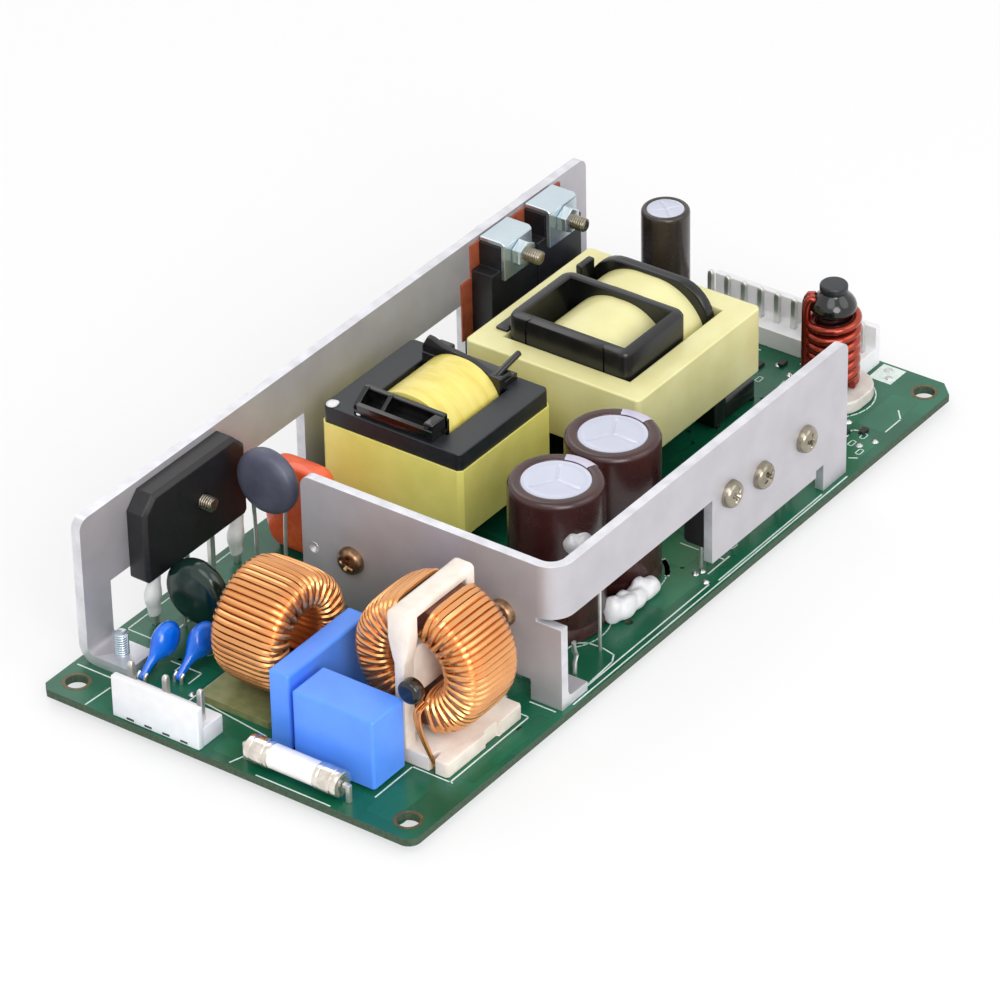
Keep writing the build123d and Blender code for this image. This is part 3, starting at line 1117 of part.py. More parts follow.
with BuildPart() as bulk_sleeves:
    with Locations(*[spot(x, y, 0) for x, y in BULK_SPOTS]):
        add(sleeve_shell(BULK_D, BOARD_T, BULK_TOP, CAN_WINDOW))
finish(bulk_sleeves.part, "bulk_capacitor_sleeves", "bulk capacitor sleeves")

with BuildPart() as bulk_cans:
    with Locations(*[spot(x, y, 0) for x, y in BULK_SPOTS]):
        add(can_body(BULK_D, BOARD_T, BULK_TOP, CAN_WINDOW))
finish(bulk_cans.part, "bulk_capacitor_cans", "bulk capacitor cans")

with BuildPart() as output_sleeve:
    with Locations(spot(*OUTPUT_CAP_AT, 0)):
        add(sleeve_shell(OUTPUT_CAP_D, BOARD_T, OUTPUT_CAP_TOP, CAN_WINDOW))
finish(output_sleeve.part, "output_capacitor_sleeve", "output capacitor sleeve")

with BuildPart() as output_can:
    with Locations(spot(*OUTPUT_CAP_AT, 0)):
        add(can_body(OUTPUT_CAP_D, BOARD_T, OUTPUT_CAP_TOP, CAN_WINDOW))
finish(output_can.part, "output_capacitor_can", "output capacitor can")

with BuildPart() as blue_cap:
    with Locations(spot(*BLUE_CAP_AT)):
        Box(*BLUE_CAP, align=CORNER_UP)
    chamfer(blue_cap.edges().filter_by(Axis.Z), BLUE_CAP_EDGE)
    chamfer(blue_cap.faces().sort_by(Axis.Z)[-1].edges(), BLUE_CAP_EDGE)
finish(blue_cap.part, "output_film_capacitor", "output film capacitor")

# Rod choke
with BuildPart() as rod_pad:
    with BuildSketch(Plane.XY.offset(BOARD_T)) as pad:
        with Locations(flat(*ROD_AT)):
            Rectangle(*ROD_PAD)
        fillet(pad.vertices(), ROD_PAD_R)
    extrude(amount=ROD_PAD_T)
finish(rod_pad.part, "rod_choke_pad", "rod choke pad")

with BuildPart() as rod_core:
    with BuildSketch(Plane.XY.offset(BOARD_T + ROD_PAD_T)):
        with Locations(flat(*ROD_AT)):
            RegularPolygon(ROD_D / 2, ROD_SIDES)
    extrude(amount=ROD_TOP - BOARD_T - ROD_PAD_T)
    chamfer(rod_core.edges().group_by(Axis.Z)[-1], 0.5)
    with BuildSketch(Plane.XY.offset(BOARD_T + ROD_PAD_T)):
        with Locations(flat(*ROD_AT)):
            RegularPolygon(ROD_BOBBIN_R, ROD_SIDES)
    extrude(amount=ROD_COIL_Z[1] + 1.6 - BOARD_T - ROD_PAD_T)
finish(rod_core.part, "rod_choke_core", "rod choke core")

ROD_WIRE = (ROD_COIL_Z[1] - ROD_COIL_Z[0]) / ROD_TURNS
with BuildPart() as rod_turn:
    with BuildSketch(Plane.XY):
        RegularPolygon(ROD_COIL_D / 2, ROD_SIDES)
    extrude(amount=ROD_WIRE)
    chamfer(rod_turn.faces().filter_by(Axis.Z).edges(), ROD_WIRE * ROD_TURN_EDGE)
    with BuildSketch(Plane.XY):
        RegularPolygon(ROD_BOBBIN_R, ROD_SIDES)
    extrude(amount=ROD_WIRE, mode=Mode.SUBTRACT)
with BuildPart() as rod_coil:
    with Locations(*[spot(*ROD_AT, ROD_COIL_Z[0] + k * ROD_WIRE) for k in range(ROD_TURNS)]):
        add(rod_turn.part)
finish(rod_coil.part, "rod_choke_winding", "rod choke winding")

# Sealing compound beside the bulk capacitors
with BuildPart() as sealant:
    for (x, y), r in (((80.0, 9.6), 2.6), ((87.0, 7.6), 2.2)):
        with BuildSketch(Plane.XY.offset(BOARD_T)):
            with Locations(flat(x, y)):
                RegularPolygon(r, 7)
        extrude(amount=3.0, taper=18)
    add(bulk_sleeves.part, mode=Mode.SUBTRACT)
finish(sealant.part, "sealing_compound", "sealing compound")

# Small surface parts
SMALL_TOP = ((150.5, 12.5), (153.5, 9.0), (156.0, 6.4), (152.0, 15.6), (149.0, 8.2), (168.0, 33.0),
             (165.0, 36.5))
with BuildPart() as small_top:
    with Locations(*[spot(x, y) for x, y in SMALL_TOP]):
        Box(2.0, 1.25, 0.7, align=UP)
finish(small_top.part, "top_chip_parts", "top chip parts")

SMALL_UNDER = [(60 + 6 * k, 29.2 + 3.2 * j) for k in range(7) for j in range(2)]
with BuildPart() as small_under:
    with Locations(*[spot(x, y, 0) for x, y in SMALL_UNDER]):
        Box(2.0, 1.25, 0.6, align=(Align.CENTER, Align.CENTER, Align.MAX))
    for x, y in ((70.0, 38.4), (118.0, 14.0)):
        with Locations(spot(x, y, 0)):
            Box(6.0, 4.4, 1.5, align=(Align.CENTER, Align.CENTER, Align.MAX))
finish(small_under.part, "under_chip_parts", "underside chip parts")

# Soldered joints with clipped leads under the board
joints = []
for k in range(0, AC_HEADER_COUNT, 2):
    joints.append((AC_HEADER_AT[0] + HEADER_DEPTH / 2, AC_HEADER_AT[1] + (k + 0.5) * HEADER_PITCH))
for k in range(OUT_HEADER_COUNT):
    joints.append((OUT_HEADER_AT[0] + HEADER_DEPTH / 2, OUT_HEADER_AT[1] + (k + 0.5) * HEADER_PITCH))
joints += [(BRIDGE_X + dx, BRIDGE_LEAD_Y) for dx in BRIDGE_LEADS]
joints += [(FUSE_X, FUSE_Y[0] - 1.2), (FUSE_X, FUSE_Y[1] + 1.2)]
for x, y in (THERMISTOR_AT, VARISTOR_AT):
    joints += [(x, y - DISC_LEAD_PITCH / 2), (x, y + DISC_LEAD_PITCH / 2)]
for x, y in BULK_SPOTS:
    joints += [(x, y - 3.75), (x, y + 3.75)]
joints += [(OUTPUT_CAP_AT[0], OUTPUT_CAP_AT[1] - 2.5), (OUTPUT_CAP_AT[0], OUTPUT_CAP_AT[1] + 2.5)]
for x, _ in RIGHT_DEVICE_SPOTS:
    for k in (-1, 1):
        joints.append((x + k * (TO_LEAD_PITCH + 0.3), RIGHT_WALL_IN + PAD_T + TO_BODY_T / 2))
for x in CLIP_DEVICE_X:
    for k in (-1, 0, 1):
        joints.append((x + k * CLIP_LEAD_PITCH, CLIP_DEVICE_BACK - CLIP_DEVICE_T / 2))
for k in range(4):
    rail_y = INDUCTOR_AT[1] + (k - 1.5) * 6.0
    joints += [(inner0 - 2.0, rail_y), (inner1 + 2.0, rail_y)]
for k in range(5):
    rail_y = TRANSFORMER_AT[1] + (k - 2) * 6.4
    joints += [(BOX_X0 - 4.0, rail_y), (rear0 + 3.0 + TRANSFORMER_RAIL[0], rail_y)]
for side in (-1, 1):
    joints.append((LINE_CHOKE_AT[0] + side * 7.5, LINE_CHOKE_AT[1] + 4.0))
    joints += [(MODE_CHOKE_AT[0] - 8.0, MODE_CHOKE_AT[1] + side * 6.0),
               (MODE_CHOKE_AT[0] + 8.0, MODE_CHOKE_AT[1] + side * 6.0)]
    joints.append((ROD_AT[0] + side * 4.4, ROD_AT[1]))
    joints.append((TALL_X_CAP_AT[0] + TALL_X_CAP[0] / 2 + side * 10.0, TALL_X_CAP_AT[1] + TALL_X_CAP[1] / 2))
    joints.append((LOW_X_CAP_AT[0] + LOW_X_CAP[0] / 2, LOW_X_CAP_AT[1] + LOW_X_CAP[1] / 2 + side * 7.5))
    joints.append((FILM_CAP_AT[0] + FILM_CAP[0] / 2, FILM_CAP_AT[1] + FILM_CAP[1] / 2 + side * 5.0))
with BuildPart() as joint:
    tip0 = JOINT_HALF - JOINT_TIP_HALF
    tip1 = JOINT_HALF + JOINT_TIP_HALF
    with Locations((0, 0, -TIP_DROP / 2)):
        Wedge(2 * JOINT_HALF, TIP_DROP, 2 * JOINT_HALF, tip0, tip0, tip1, tip1, rotation=(-90, 0, 0))
with BuildPart() as solder:
    with Locations(*[spot(x, y, 0) for x, y in joints]):
        add(joint.part)
finish(solder.part, "solder_joints", "solder joints")
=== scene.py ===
import json
import random
from math import copysign, cos, exp, hypot, pi, radians, sin

import bmesh
import bpy
from mathutils import Matrix, Vector
from mathutils.bvhtree import BVHTree


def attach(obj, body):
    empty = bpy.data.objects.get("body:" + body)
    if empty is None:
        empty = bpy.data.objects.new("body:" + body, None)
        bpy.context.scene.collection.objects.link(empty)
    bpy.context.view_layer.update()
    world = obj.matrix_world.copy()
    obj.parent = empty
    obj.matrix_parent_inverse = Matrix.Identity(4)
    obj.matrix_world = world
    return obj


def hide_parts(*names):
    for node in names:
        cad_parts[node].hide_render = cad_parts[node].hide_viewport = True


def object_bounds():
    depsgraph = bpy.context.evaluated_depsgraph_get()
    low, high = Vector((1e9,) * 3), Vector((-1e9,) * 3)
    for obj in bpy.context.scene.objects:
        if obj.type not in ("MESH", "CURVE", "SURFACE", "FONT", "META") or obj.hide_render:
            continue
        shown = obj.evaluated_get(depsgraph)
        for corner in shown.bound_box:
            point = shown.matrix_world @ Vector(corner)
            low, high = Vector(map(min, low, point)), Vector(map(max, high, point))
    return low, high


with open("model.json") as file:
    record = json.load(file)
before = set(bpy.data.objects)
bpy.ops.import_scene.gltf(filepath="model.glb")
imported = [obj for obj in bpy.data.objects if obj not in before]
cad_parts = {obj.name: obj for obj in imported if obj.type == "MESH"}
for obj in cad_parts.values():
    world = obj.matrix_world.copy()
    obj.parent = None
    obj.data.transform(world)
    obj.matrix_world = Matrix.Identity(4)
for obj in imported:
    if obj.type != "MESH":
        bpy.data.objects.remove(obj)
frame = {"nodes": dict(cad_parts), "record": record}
CAD_LO, CAD_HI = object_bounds()
NODES = frame["nodes"]
MM = 0.001
HALF_L, HALF_W = 90.0, 42.0
BOARD_TOP = 1.6
PRINT_H = 0.03
TAU = 2 * pi
chance = random.Random(7)


# Places: millimetres from the board's right input corner, z from the board's underside
def at(x, y, z):
    return Vector(((x - HALF_L) * MM, (y - HALF_W) * MM, z * MM))


# Materials
def linear(colour):
    """Linear colour of an sRGB one."""
    return [c / 12.92 if c < 0.04045 else ((c + 0.055) / 1.055) ** 2.4 for c in colour] + [1.0]


def add_node(tree, kind, **values):
    """New shader node with its inputs set; an underscore in a name stands for a space."""
    node = tree.nodes.new(kind)
    for name, value in values.items():
        node.inputs[name.replace("_", " ")].default_value = value
    return node


COAT_ROUGH = 0.08
NOISE_MIX = (0.35, 0.65)


def look(name, colour, second, grain, rough, stretch=(1, 1, 1), metal=0.0, bump=0.15, bump_grain=2500.0,
         depth=0.00004, coat=0.0, sub=0.0):
    """Material of two colours mixed by noise of a grain, with uneven roughness and a fine relief."""
    mat = bpy.data.materials.new(name)
    mat.use_nodes = True
    tree = mat.node_tree
    shader = tree.nodes["Principled BSDF"]
    for socket, value in (("Metallic", metal), ("Coat Weight", coat), ("Coat Roughness", COAT_ROUGH),
                          ("Subsurface Weight", sub), ("Subsurface Scale", MM)):
        shader.inputs[socket].default_value = value
    place = tree.nodes.new("ShaderNodeTexCoord")
    scale = add_node(tree, "ShaderNodeMapping", Scale=stretch)
    noise = add_node(tree, "ShaderNodeTexNoise", Scale=grain, Detail=5.0)
    ramp = tree.nodes.new("ShaderNodeValToRGB")
    for element, position, tone in zip(ramp.color_ramp.elements, NOISE_MIX, (colour, second)):
        element.position = position
        element.color = linear(tone)
    spread = add_node(tree, "ShaderNodeMapRange", To_Min=rough[0], To_Max=rough[1])
    fine = add_node(tree, "ShaderNodeTexNoise", Scale=bump_grain, Detail=3.0)
    relief = add_node(tree, "ShaderNodeBump", Strength=bump, Distance=depth)
    for source, target in ((place.outputs["Object"], scale.inputs["Vector"]),
                           (scale.outputs["Vector"], noise.inputs["Vector"]),
                           (noise.outputs["Fac"], ramp.inputs["Fac"]),
                           (ramp.outputs["Color"], shader.inputs["Base Color"]),
                           (noise.outputs["Fac"], spread.inputs["Value"]),
                           (spread.outputs["Result"], shader.inputs["Roughness"]),
                           (scale.outputs["Vector"], fine.inputs["Vector"]),
                           (fine.outputs["Fac"], relief.inputs["Height"]),
                           (relief.outputs["Normal"], shader.inputs["Normal"])):
        tree.links.new(source, target)
    return mat


FINISHES = {}


def finish(slot, *tones, name=None, **more):
    """Look of the pieces with this slot, unless they name their own."""
    FINISHES[slot] = look(name or slot, *tones, **more)


finish("board_green", (0.04, 0.33, 0.23), (0.08, 0.40, 0.29), 60, (0.22, 0.32), bump=0.25, bump_grain=900,
       name="solder_mask")
finish("plate_aluminium", (0.74, 0.73, 0.75), (0.77, 0.76, 0.78), 150, (0.46, 0.54), metal=0.55, bump=0.06,
       bump_grain=3500)
finish("screw_steel", (0.56, 0.53, 0.47), (0.68, 0.65, 0.59), 300, (0.2, 0.32), metal=0.95, bump=0.05)
finish("clip_zinc", (0.78, 0.83, 0.86), (0.82, 0.87, 0.89), 90, (0.16, 0.24), metal=0.85, bump=0.05)
finish("black_mould", (0.07, 0.07, 0.08), (0.10, 0.10, 0.11), 900, (0.38, 0.5), bump=0.3, bump_grain=5000)
finish("bobbin_black", (0.05, 0.05, 0.055), (0.08, 0.08, 0.08), 300, (0.2, 0.3), bump=0.04)
finish("grey_pad", (0.55, 0.55, 0.56), (0.62, 0.62, 0.63), 800, (0.7, 0.85), bump=0.3)
finish("tinned_lead", (0.78, 0.78, 0.77), (0.86, 0.86, 0.84), 400, (0.24, 0.36), metal=0.8, bump=0.1)
finish("silicone_red", (0.58, 0.27, 0.17), (0.66, 0.34, 0.22), 500, (0.55, 0.68), bump=0.3)
finish("sleeve_white", (0.86, 0.87, 0.86), (0.93, 0.93, 0.92), 400, (0.3, 0.45), bump=0.2, sub=0.15)
finish("slate_epoxy", (0.29, 0.30, 0.37), (0.33, 0.34, 0.41), 300, (0.36, 0.48), bump=0.35, bump_grain=1100)
finish("green_epoxy", (0.03, 0.13, 0.11), (0.05, 0.18, 0.15), 200, (0.12, 0.22), bump=0.25, bump_grain=500,
       coat=0.2)
finish("orange_epoxy", (0.93, 0.34, 0.15), (0.97, 0.42, 0.22), 250, (0.2, 0.34), bump=0.3, bump_grain=700,
       coat=0.3)
finish("blue_epoxy", (0.0, 0.39, 0.88), (0.02, 0.46, 0.95), 300, (0.14, 0.26), bump=0.3, bump_grain=800,
       coat=0.5)
finish("copper_wire", (0.85, 0.57, 0.34), (0.91, 0.65, 0.41), 70, (0.2, 0.28), metal=0.85, bump=0.04,
       coat=0.35)
finish("ferrite", (0.10, 0.11, 0.13), (0.13, 0.14, 0.16), 900, (0.34, 0.46), bump=0.2)
finish("olive_board", (0.46, 0.48, 0.30), (0.53, 0.54, 0.36), 500, (0.5, 0.62), bump=0.3)
finish("white_plastic", (0.90, 0.90, 0.91), (0.92, 0.92, 0.93), 400, (0.36, 0.48), bump=0.15, sub=0.1,
       name="header_nylon")
finish("blue_case", (0.33, 0.57, 0.99), (0.36, 0.60, 1.0), 120, (0.28, 0.36), bump=0.06)
finish("fuse_ceramic", (0.92, 0.91, 0.89), (0.96, 0.95, 0.94), 500, (0.25, 0.35), bump=0.1, coat=0.3)
finish("fuse_nickel", (0.84, 0.80, 0.76), (0.93, 0.90, 0.86), 600, (0.16, 0.3), metal=0.95, bump=0.1)
finish("yellow_tape", (0.94, 0.90, 0.47), (0.97, 0.93, 0.52), 200, (0.26, 0.36), bump=0.25, bump_grain=350,
       coat=0.25)
finish("pale_tape", (0.88, 0.85, 0.60), (0.91, 0.89, 0.66), 120, (0.26, 0.34), bump=0.2, bump_grain=220,
       coat=0.2)
finish("brown_sleeve", (0.20, 0.09, 0.09), (0.24, 0.12, 0.11), 200, (0.22, 0.32), bump=0.05, coat=0.1,
       name="capacitor_sleeve")
finish("can_aluminium", (0.76, 0.77, 0.83), (0.79, 0.80, 0.86), 80, (0.34, 0.42), metal=0.4, bump=0.04)
finish("navy_case", (0.10, 0.16, 0.36), (0.14, 0.21, 0.42), 300, (0.3, 0.42), bump=0.15)
finish("white_pad", (0.80, 0.77, 0.75), (0.86, 0.84, 0.81), 400, (0.5, 0.62), bump=0.2)
finish("red_wire", (0.55, 0.17, 0.11), (0.66, 0.24, 0.15), 80, (0.16, 0.24), metal=0.8, bump=0.04, coat=0.4)
finish("silicone_white", (0.85, 0.85, 0.86), (0.90, 0.90, 0.91), 400, (0.36, 0.5), bump=0.4, bump_grain=700,
       sub=0.1)
finish("chip_dark", (0.10, 0.10, 0.11), (0.15, 0.15, 0.16), 900, (0.4, 0.55), bump=0.2)
finish("solder", (0.70, 0.71, 0.72), (0.84, 0.84, 0.84), 500, (0.18, 0.32), metal=0.95, bump=0.3,
       bump_grain=900)
MASK_LIGHT = look("solder_mask_on_copper", (0.07, 0.37, 0.26), (0.11, 0.42, 0.30), 90, (0.2, 0.3), bump=0.2,
                  bump_grain=900)
RIM = look("hole_rim", (0.30, 0.26, 0.14), (0.38, 0.33, 0.18), 900, (0.35, 0.5), bump=0.3)
PRINT = look("board_print", (0.80, 0.86, 0.84), (0.88, 0.92, 0.90), 1500, (0.5, 0.65), bump=0.3)
LAMINATE = look("laminate_edge", (0.16, 0.25, 0.18), (0.25, 0.33, 0.25), 1500, (0.6, 0.75), bump=0.5)
CUT = look("cut_aluminium", (0.80, 0.80, 0.82), (0.87, 0.87, 0.89), 300, (0.3, 0.42), metal=0.6, bump=0.04)
BRONZE = look("screw_bronze", (0.50, 0.38, 0.28), (0.66, 0.54, 0.42), 700, (0.25, 0.38), metal=0.95, bump=0.1)
GLOSS_BLACK = look("former_black", (0.035, 0.035, 0.04), (0.055, 0.055, 0.06), 300, (0.1, 0.2), bump=0.06,
                   bump_grain=700, coat=0.3)
# Ring cores: dark copper-brown, painted shade of the copper wire that shows in the gaps between the turns
CORE_PAINTED_COPPER_SHADE = look("core_painted_copper_shade", (0.36, 0.18, 0.10), (0.44, 0.24, 0.14), 900, (0.34, 0.46), bump=0.2)
FRAME_WHITE = look("frame_plastic", (0.90, 0.85, 0.80), (0.94, 0.90, 0.86), 300, (0.42, 0.54), bump=0.15,
                   sub=0.1)
DOME = look("yellow_dome", (0.89, 0.81, 0.38), (0.94, 0.88, 0.49), 220, (0.22, 0.34), stretch=(2.2, 0.5, 0.5),
            bump=0.55, bump_grain=260, depth=0.0002, coat=0.3)
BROWN = look("small_sleeve", (0.17, 0.14, 0.12), (0.21, 0.18, 0.16), 200, (0.22, 0.32), bump=0.05, coat=0.1)
PALE_STRIPE = look("sleeve_stripe", (0.72, 0.70, 0.78), (0.78, 0.76, 0.83), 300, (0.25, 0.35), bump=0.05)
SLOT_OF = {part["node"]: part["material_slot"] for part in frame["record"]["subparts"]}
OWN_FINISH = {"mode_choke_frame": FRAME_WHITE, "inductor_winding": DOME}
for name, node in NODES.items():
    node.data.materials.clear()
    node.data.materials.append(OWN_FINISH.get(name, FINISHES[SLOT_OF[name]]))


# Shapes
def turned(x, y, z, towards="Z", spin=0.0):
    """Place with its own axes: a and b across, c along the named direction."""
    origin = at(x, y, z)
    along = {"X": (1, 0, 0), "Y": (0, 1, 0), "Z": (0, 0, 1)}[towards[-1]]
    c = Vector(along) * (-1 if towards[0] == "-" else 1)
    a = Vector((0, 0, 1)) if towards[-1] != "Z" else Vector((1, 0, 0))
    b = c.cross(a)
    a, b = a * cos(spin) + b * sin(spin), b * cos(spin) - a * sin(spin)
    return lambda u, v, w: origin + (a * u + b * v + c * w) * MM


def ring_at(place, r, h, sides):
    """Round ring of places."""
    return [place(u, v, h) for u, v in circle(r, sides)]


class Form:
    """Vertices, faces and face materials of one piece."""

    def __init__(self):
        self.verts = []
        self.faces = []
        self.marks = []
        self.mark = 0

    def face(self, corners):
        self.faces.append(tuple(corners))
        self.marks.append(self.mark)

    def loft(self, rings, loop=False):
        """Skin over rings of as many points; it closes on itself or ends in caps."""
        base, sides, count = len(self.verts), len(rings[0]), len(rings)
        for ring in rings:
            self.verts.extend(ring)
        for i in range(count if loop else count - 1):
            low, high = base + i * sides, base + (i + 1) % count * sides
            for j in range(sides):
                k = (j + 1) % sides
                self.face((low + j, low + k, high + k, high + j))
        if not loop:
            self.face(range(base + sides - 1, base - 1, -1))
            self.face(range(base + (count - 1) * sides, base + count * sides))

    def tube(self, path, radius, sides=8, squash=1.0):
        """Round bar along a path of places; the radius may differ from point to point."""
        last = len(path) - 1
        side = None
        rings = []
        for i, point in enumerate(path):
            way = (path[min(i + 1, last)] - path[max(i - 1, 0)]).normalized()
            side = side or (Vector((0, 0, 1)) if abs(way.z) < 0.9 else Vector((1, 0, 0)))
            side = (side - way * side.dot(way)).normalized()
            other = way.cross(side)
            r = (radius[i] if isinstance(radius, list) else radius) * MM
            low = squash[i] if isinstance(squash, list) else squash
            rings.append([point + side * cos(TAU * k / sides) * r + other * sin(TAU * k / sides) * r * low
                          for k in range(sides)])
        self.loft(rings)

    def lathe(self, profile, place, sides=48):
        """Turned shape from pairs of radius and height."""
        self.loft([ring_at(place, r, h, sides) for r, h in profile])

    def slab(self, outline, low, high, edge=0.0, place=None, steps=3):
        """Flat shape with rounded edges from an outline of corners in millimetres."""
        place = place or at
        centre = centre_of(outline)
        reach = [max(abs(p[i] - centre[i]) for p in outline) for i in (0, 1)]
        rings = []
        turns = [pi / 2 * k / steps for k in range(steps + 1)] if edge else [pi / 2]
        for far, way in ((low, 1), (high, -1)):
            part = []
            for t in turns:
                inset, rise = edge * (1 - sin(t)), edge * (1 - cos(t))
                ring = []
                for p in outline:
                    u, v = (centre[i] + (p[i] - centre[i]) * (1 - inset / max(reach[i], 0.01))
                            for i in (0, 1))
                    ring.append(place(u, v, far + way * rise))
                part.append(ring)
            rings += part if way > 0 else part[::-1]
        self.loft(rings)

    def block(self, x0, x1, y0, y1, z0, z1, edge=0.15, place=None):
        """Box with rounded edges."""
        self.slab(rounded(x0, x1, y0, y1, edge), z0, z1, edge, place)

    def cushion(self, outline, half, place, layers, power):
        """Lens-edged shape: the outline shrinks towards both faces."""
        cu, cv = centre_of(outline)
        rings = []
        for i in range(layers + 1):
            t = -pi / 2 + pi * i / layers
            grow = max(max(cos(t), 0.0) ** power, 0.04)
            rings.append([place(cu + (u - cu) * grow, cv + (v - cv) * grow, half * sin(t))
                          for u, v in outline])
        self.loft(rings)

    def lump(self, x, y, z, rx, ry, rz, rough=0.16, sides=20):
        """Rounded blob of poured or squeezed material."""
        tune = [chance.uniform(0, TAU) for _ in range(4)]
        rings = []
        for i in range(1, sides // 2):
            t = pi * i / (sides // 2)
            ring = []
            for k in range(sides):
                a = TAU * k / sides
                swell = 1 + rough * (sin(2 * a + tune[0]) * sin(t + tune[1])
                                     + 0.6 * sin(3 * a + tune[2] + 2 * t))
                swell *= 1 + 0.4 * rough * sin(5 * t + tune[3])
                ring.append(at(x + rx * swell * sin(t) * cos(a), y + ry * swell * sin(t) * sin(a),
                               max(z - rz * swell * cos(t), BOARD_TOP)))
            rings.append(ring)
        self.loft(rings)

    def piece(self, name, *nodes, looks=None, slot=None, sharp=42.0):
        """Object of this shape; it replaces the nodes that it names."""
        mesh = bpy.data.meshes.new(name)
        mesh.from_pydata(self.verts, [], self.faces)
        for poly, mark in zip(mesh.polygons, self.marks):
            poly.material_index = mark
        work = bmesh.new()
        work.from_mesh(mesh)
        bmesh.ops.recalc_face_normals(work, faces=work.faces)
        work.to_mesh(mesh)
        work.free()
        return dress(name, mesh, looks, nodes, slot or SLOT_OF[nodes[0]], sharp)


def dress(name, mesh, looks, nodes, slot, sharp):
    """Finished object: looks (its slot's own finish if none), shading and body; the nodes it names are
    hidden.
    """
    for material in looks or [FINISHES[slot]]:
        mesh.materials.append(material)
    for poly in mesh.polygons:
        poly.use_smooth = True
    mesh.set_sharp_from_angle(angle=radians(sharp))
    obj = bpy.data.objects.new(name, mesh)
    bpy.context.scene.collection.objects.link(obj)
    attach(obj, "root")
    if nodes:
        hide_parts(*nodes)
    return obj


def centre_of(outline):
    """Mean point of an outline."""
    return [sum(p[i] for p in outline) / len(outline) for i in (0, 1)]


def rounded(x0, x1, y0, y1, r, steps=3):
    """Rectangle with rounded corners, anticlockwise."""
    corners = ((x1 - r, y1 - r, 0), (x0 + r, y1 - r, 1), (x0 + r, y0 + r, 2), (x1 - r, y0 + r, 3))
    return [(cx + r * cos(pi / 2 * (q + k / steps)), cy + r * sin(pi / 2 * (q + k / steps)))
            for cx, cy, q in corners for k in range(steps + 1)]


def eased(points, steps=5):
    """Smooth run of places through the given corner-based points."""
    ends = [points[0]] + list(points) + [points[-1]]
    run = []
    for i in range(1, len(ends) - 2):
        p0, p1, p2, p3 = (at(*p) for p in ends[i - 1:i + 3])
        for k in range(steps):
            t = k / steps
            run.append(0.5 * (2 * p1 + (p2 - p0) * t + (2 * p0 - 5 * p1 + 4 * p2 - p3) * t * t
                              + (3 * p1 - p0 - 3 * p2 + p3) * t * t * t))
    return run + [at(*points[-1])]


def circle(r, sides=40, cu=0.0, cv=0.0):
    """Round outline."""
    return [(cu + r * cos(TAU * k / sides), cv + r * sin(TAU * k / sides)) for k in range(sides)]


def rim(r0, r1, h0, h1, steps=4):
    """Quarter round between two profile points."""
    return [(r0 + (r1 - r0) * sin(pi / 2 * k / steps), h0 + (h1 - h0) * (1 - cos(pi / 2 * k / steps)))
            for k in range(steps + 1)]


def islands(work):
    """Sets of vertices that hang together."""
    left = set(work.verts)
    while left:
        stack = [left.pop()]
        found = set(stack)
        while stack:
            for edge in stack.pop().link_edges:
                for vert in edge.verts:
                    if vert in left:
                        left.remove(vert)
                        found.add(vert)
                        stack.append(vert)
        yield found


BEVEL_STEPS = 2
BEVEL_ANGLE = radians(32.0)


def softened(node, width, second=None, sheet=0.0, top=False):
    """Copy of a node with rounded edges; a second look goes on cut edges or on faces that aren't level."""
    work = bmesh.new()
    work.from_mesh(NODES[node].data)
    bmesh.ops.remove_doubles(work, verts=work.verts, dist=1e-6)
    bmesh.ops.dissolve_limit(work, angle_limit=radians(1), verts=work.verts, edges=work.edges)
    for verts in list(islands(work)):
        edges = [e for e in {e for v in verts for e in v.link_edges}
                 if len(e.link_faces) == 2 and e.calc_face_angle(0.0) > BEVEL_ANGLE]
        edges.sort(key=lambda e: (e.verts[0].index, e.verts[1].index))
        bmesh.ops.bevel(work, geom=edges, offset=width * MM, offset_type="OFFSET", segments=BEVEL_STEPS,
                        profile=0.5, affect="EDGES", clamp_overlap=True)
    if sheet:
        solid = BVHTree.FromBMesh(work)
        for face in work.faces:
            hit = solid.ray_cast(face.calc_center_median() - face.normal * 1e-5, -face.normal)
            face.material_index = 0 if hit[0] is not None and abs(hit[3] / MM - sheet) < 0.15 else 1
    if top:
        for face in work.faces:
            face.material_index = 0 if abs(face.normal.z) > 0.9 else 1
    mesh = bpy.data.meshes.new(node + "_finished")
    work.to_mesh(mesh)
    work.free()
    slot = SLOT_OF[node]
    obj = dress(node + "_finished", mesh, [FINISHES[slot], second] if second else None, (node,), slot, 50.0)
    weigh = obj.modifiers.new("even", "WEIGHTED_NORMAL")
    weigh.keep_sharp = True
    return obj


def side_on(x, y, z):
    """Place for an outline in Y and Z that runs along X."""
    return at(z, x, y)


def upright(x, y, z):
    """Place for an outline in X and Z that runs along Y."""
    return at(x, z, y)


def solids_of(node):
    """Boxes of the separate solids in a node, in board millimetres."""
    work = bmesh.new()
    work.from_mesh(NODES[node].data)
    bmesh.ops.remove_doubles(work, verts=work.verts, dist=1e-6)
    boxes = []
    for verts in islands(work):
        lo = [min(v.co[i] for v in verts) / MM for i in range(3)]
        hi = [max(v.co[i] for v in verts) / MM for i in range(3)]
        boxes.append((lo[0] + HALF_L, hi[0] + HALF_L, lo[1] + HALF_W, hi[1] + HALF_W, lo[2], hi[2]))
    work.free()
    return sorted(boxes)


def hollow_ring(form, outer, inner, z0, z1, edge):
    """Upright wall between two outlines with as many points."""
    cx, cy = centre_of(outer)
    section = [(outer, 0.0, z0), (outer, 0.0, z1 - edge), (outer, 0.3 * edge, z1 - 0.3 * edge),
               (outer, edge, z1), (inner, -0.3, z1), (inner, 0.0, z1 - 0.3), (inner, 0.0, z0)]
    form.loft([[at(cx + (u - cx) * (1 - inset / 10), cy + (v - cy) * (1 - inset / 12), z) for u, v in line]
               for line, inset, z in section], loop=True)


SKIN_VOXEL = 0.0003


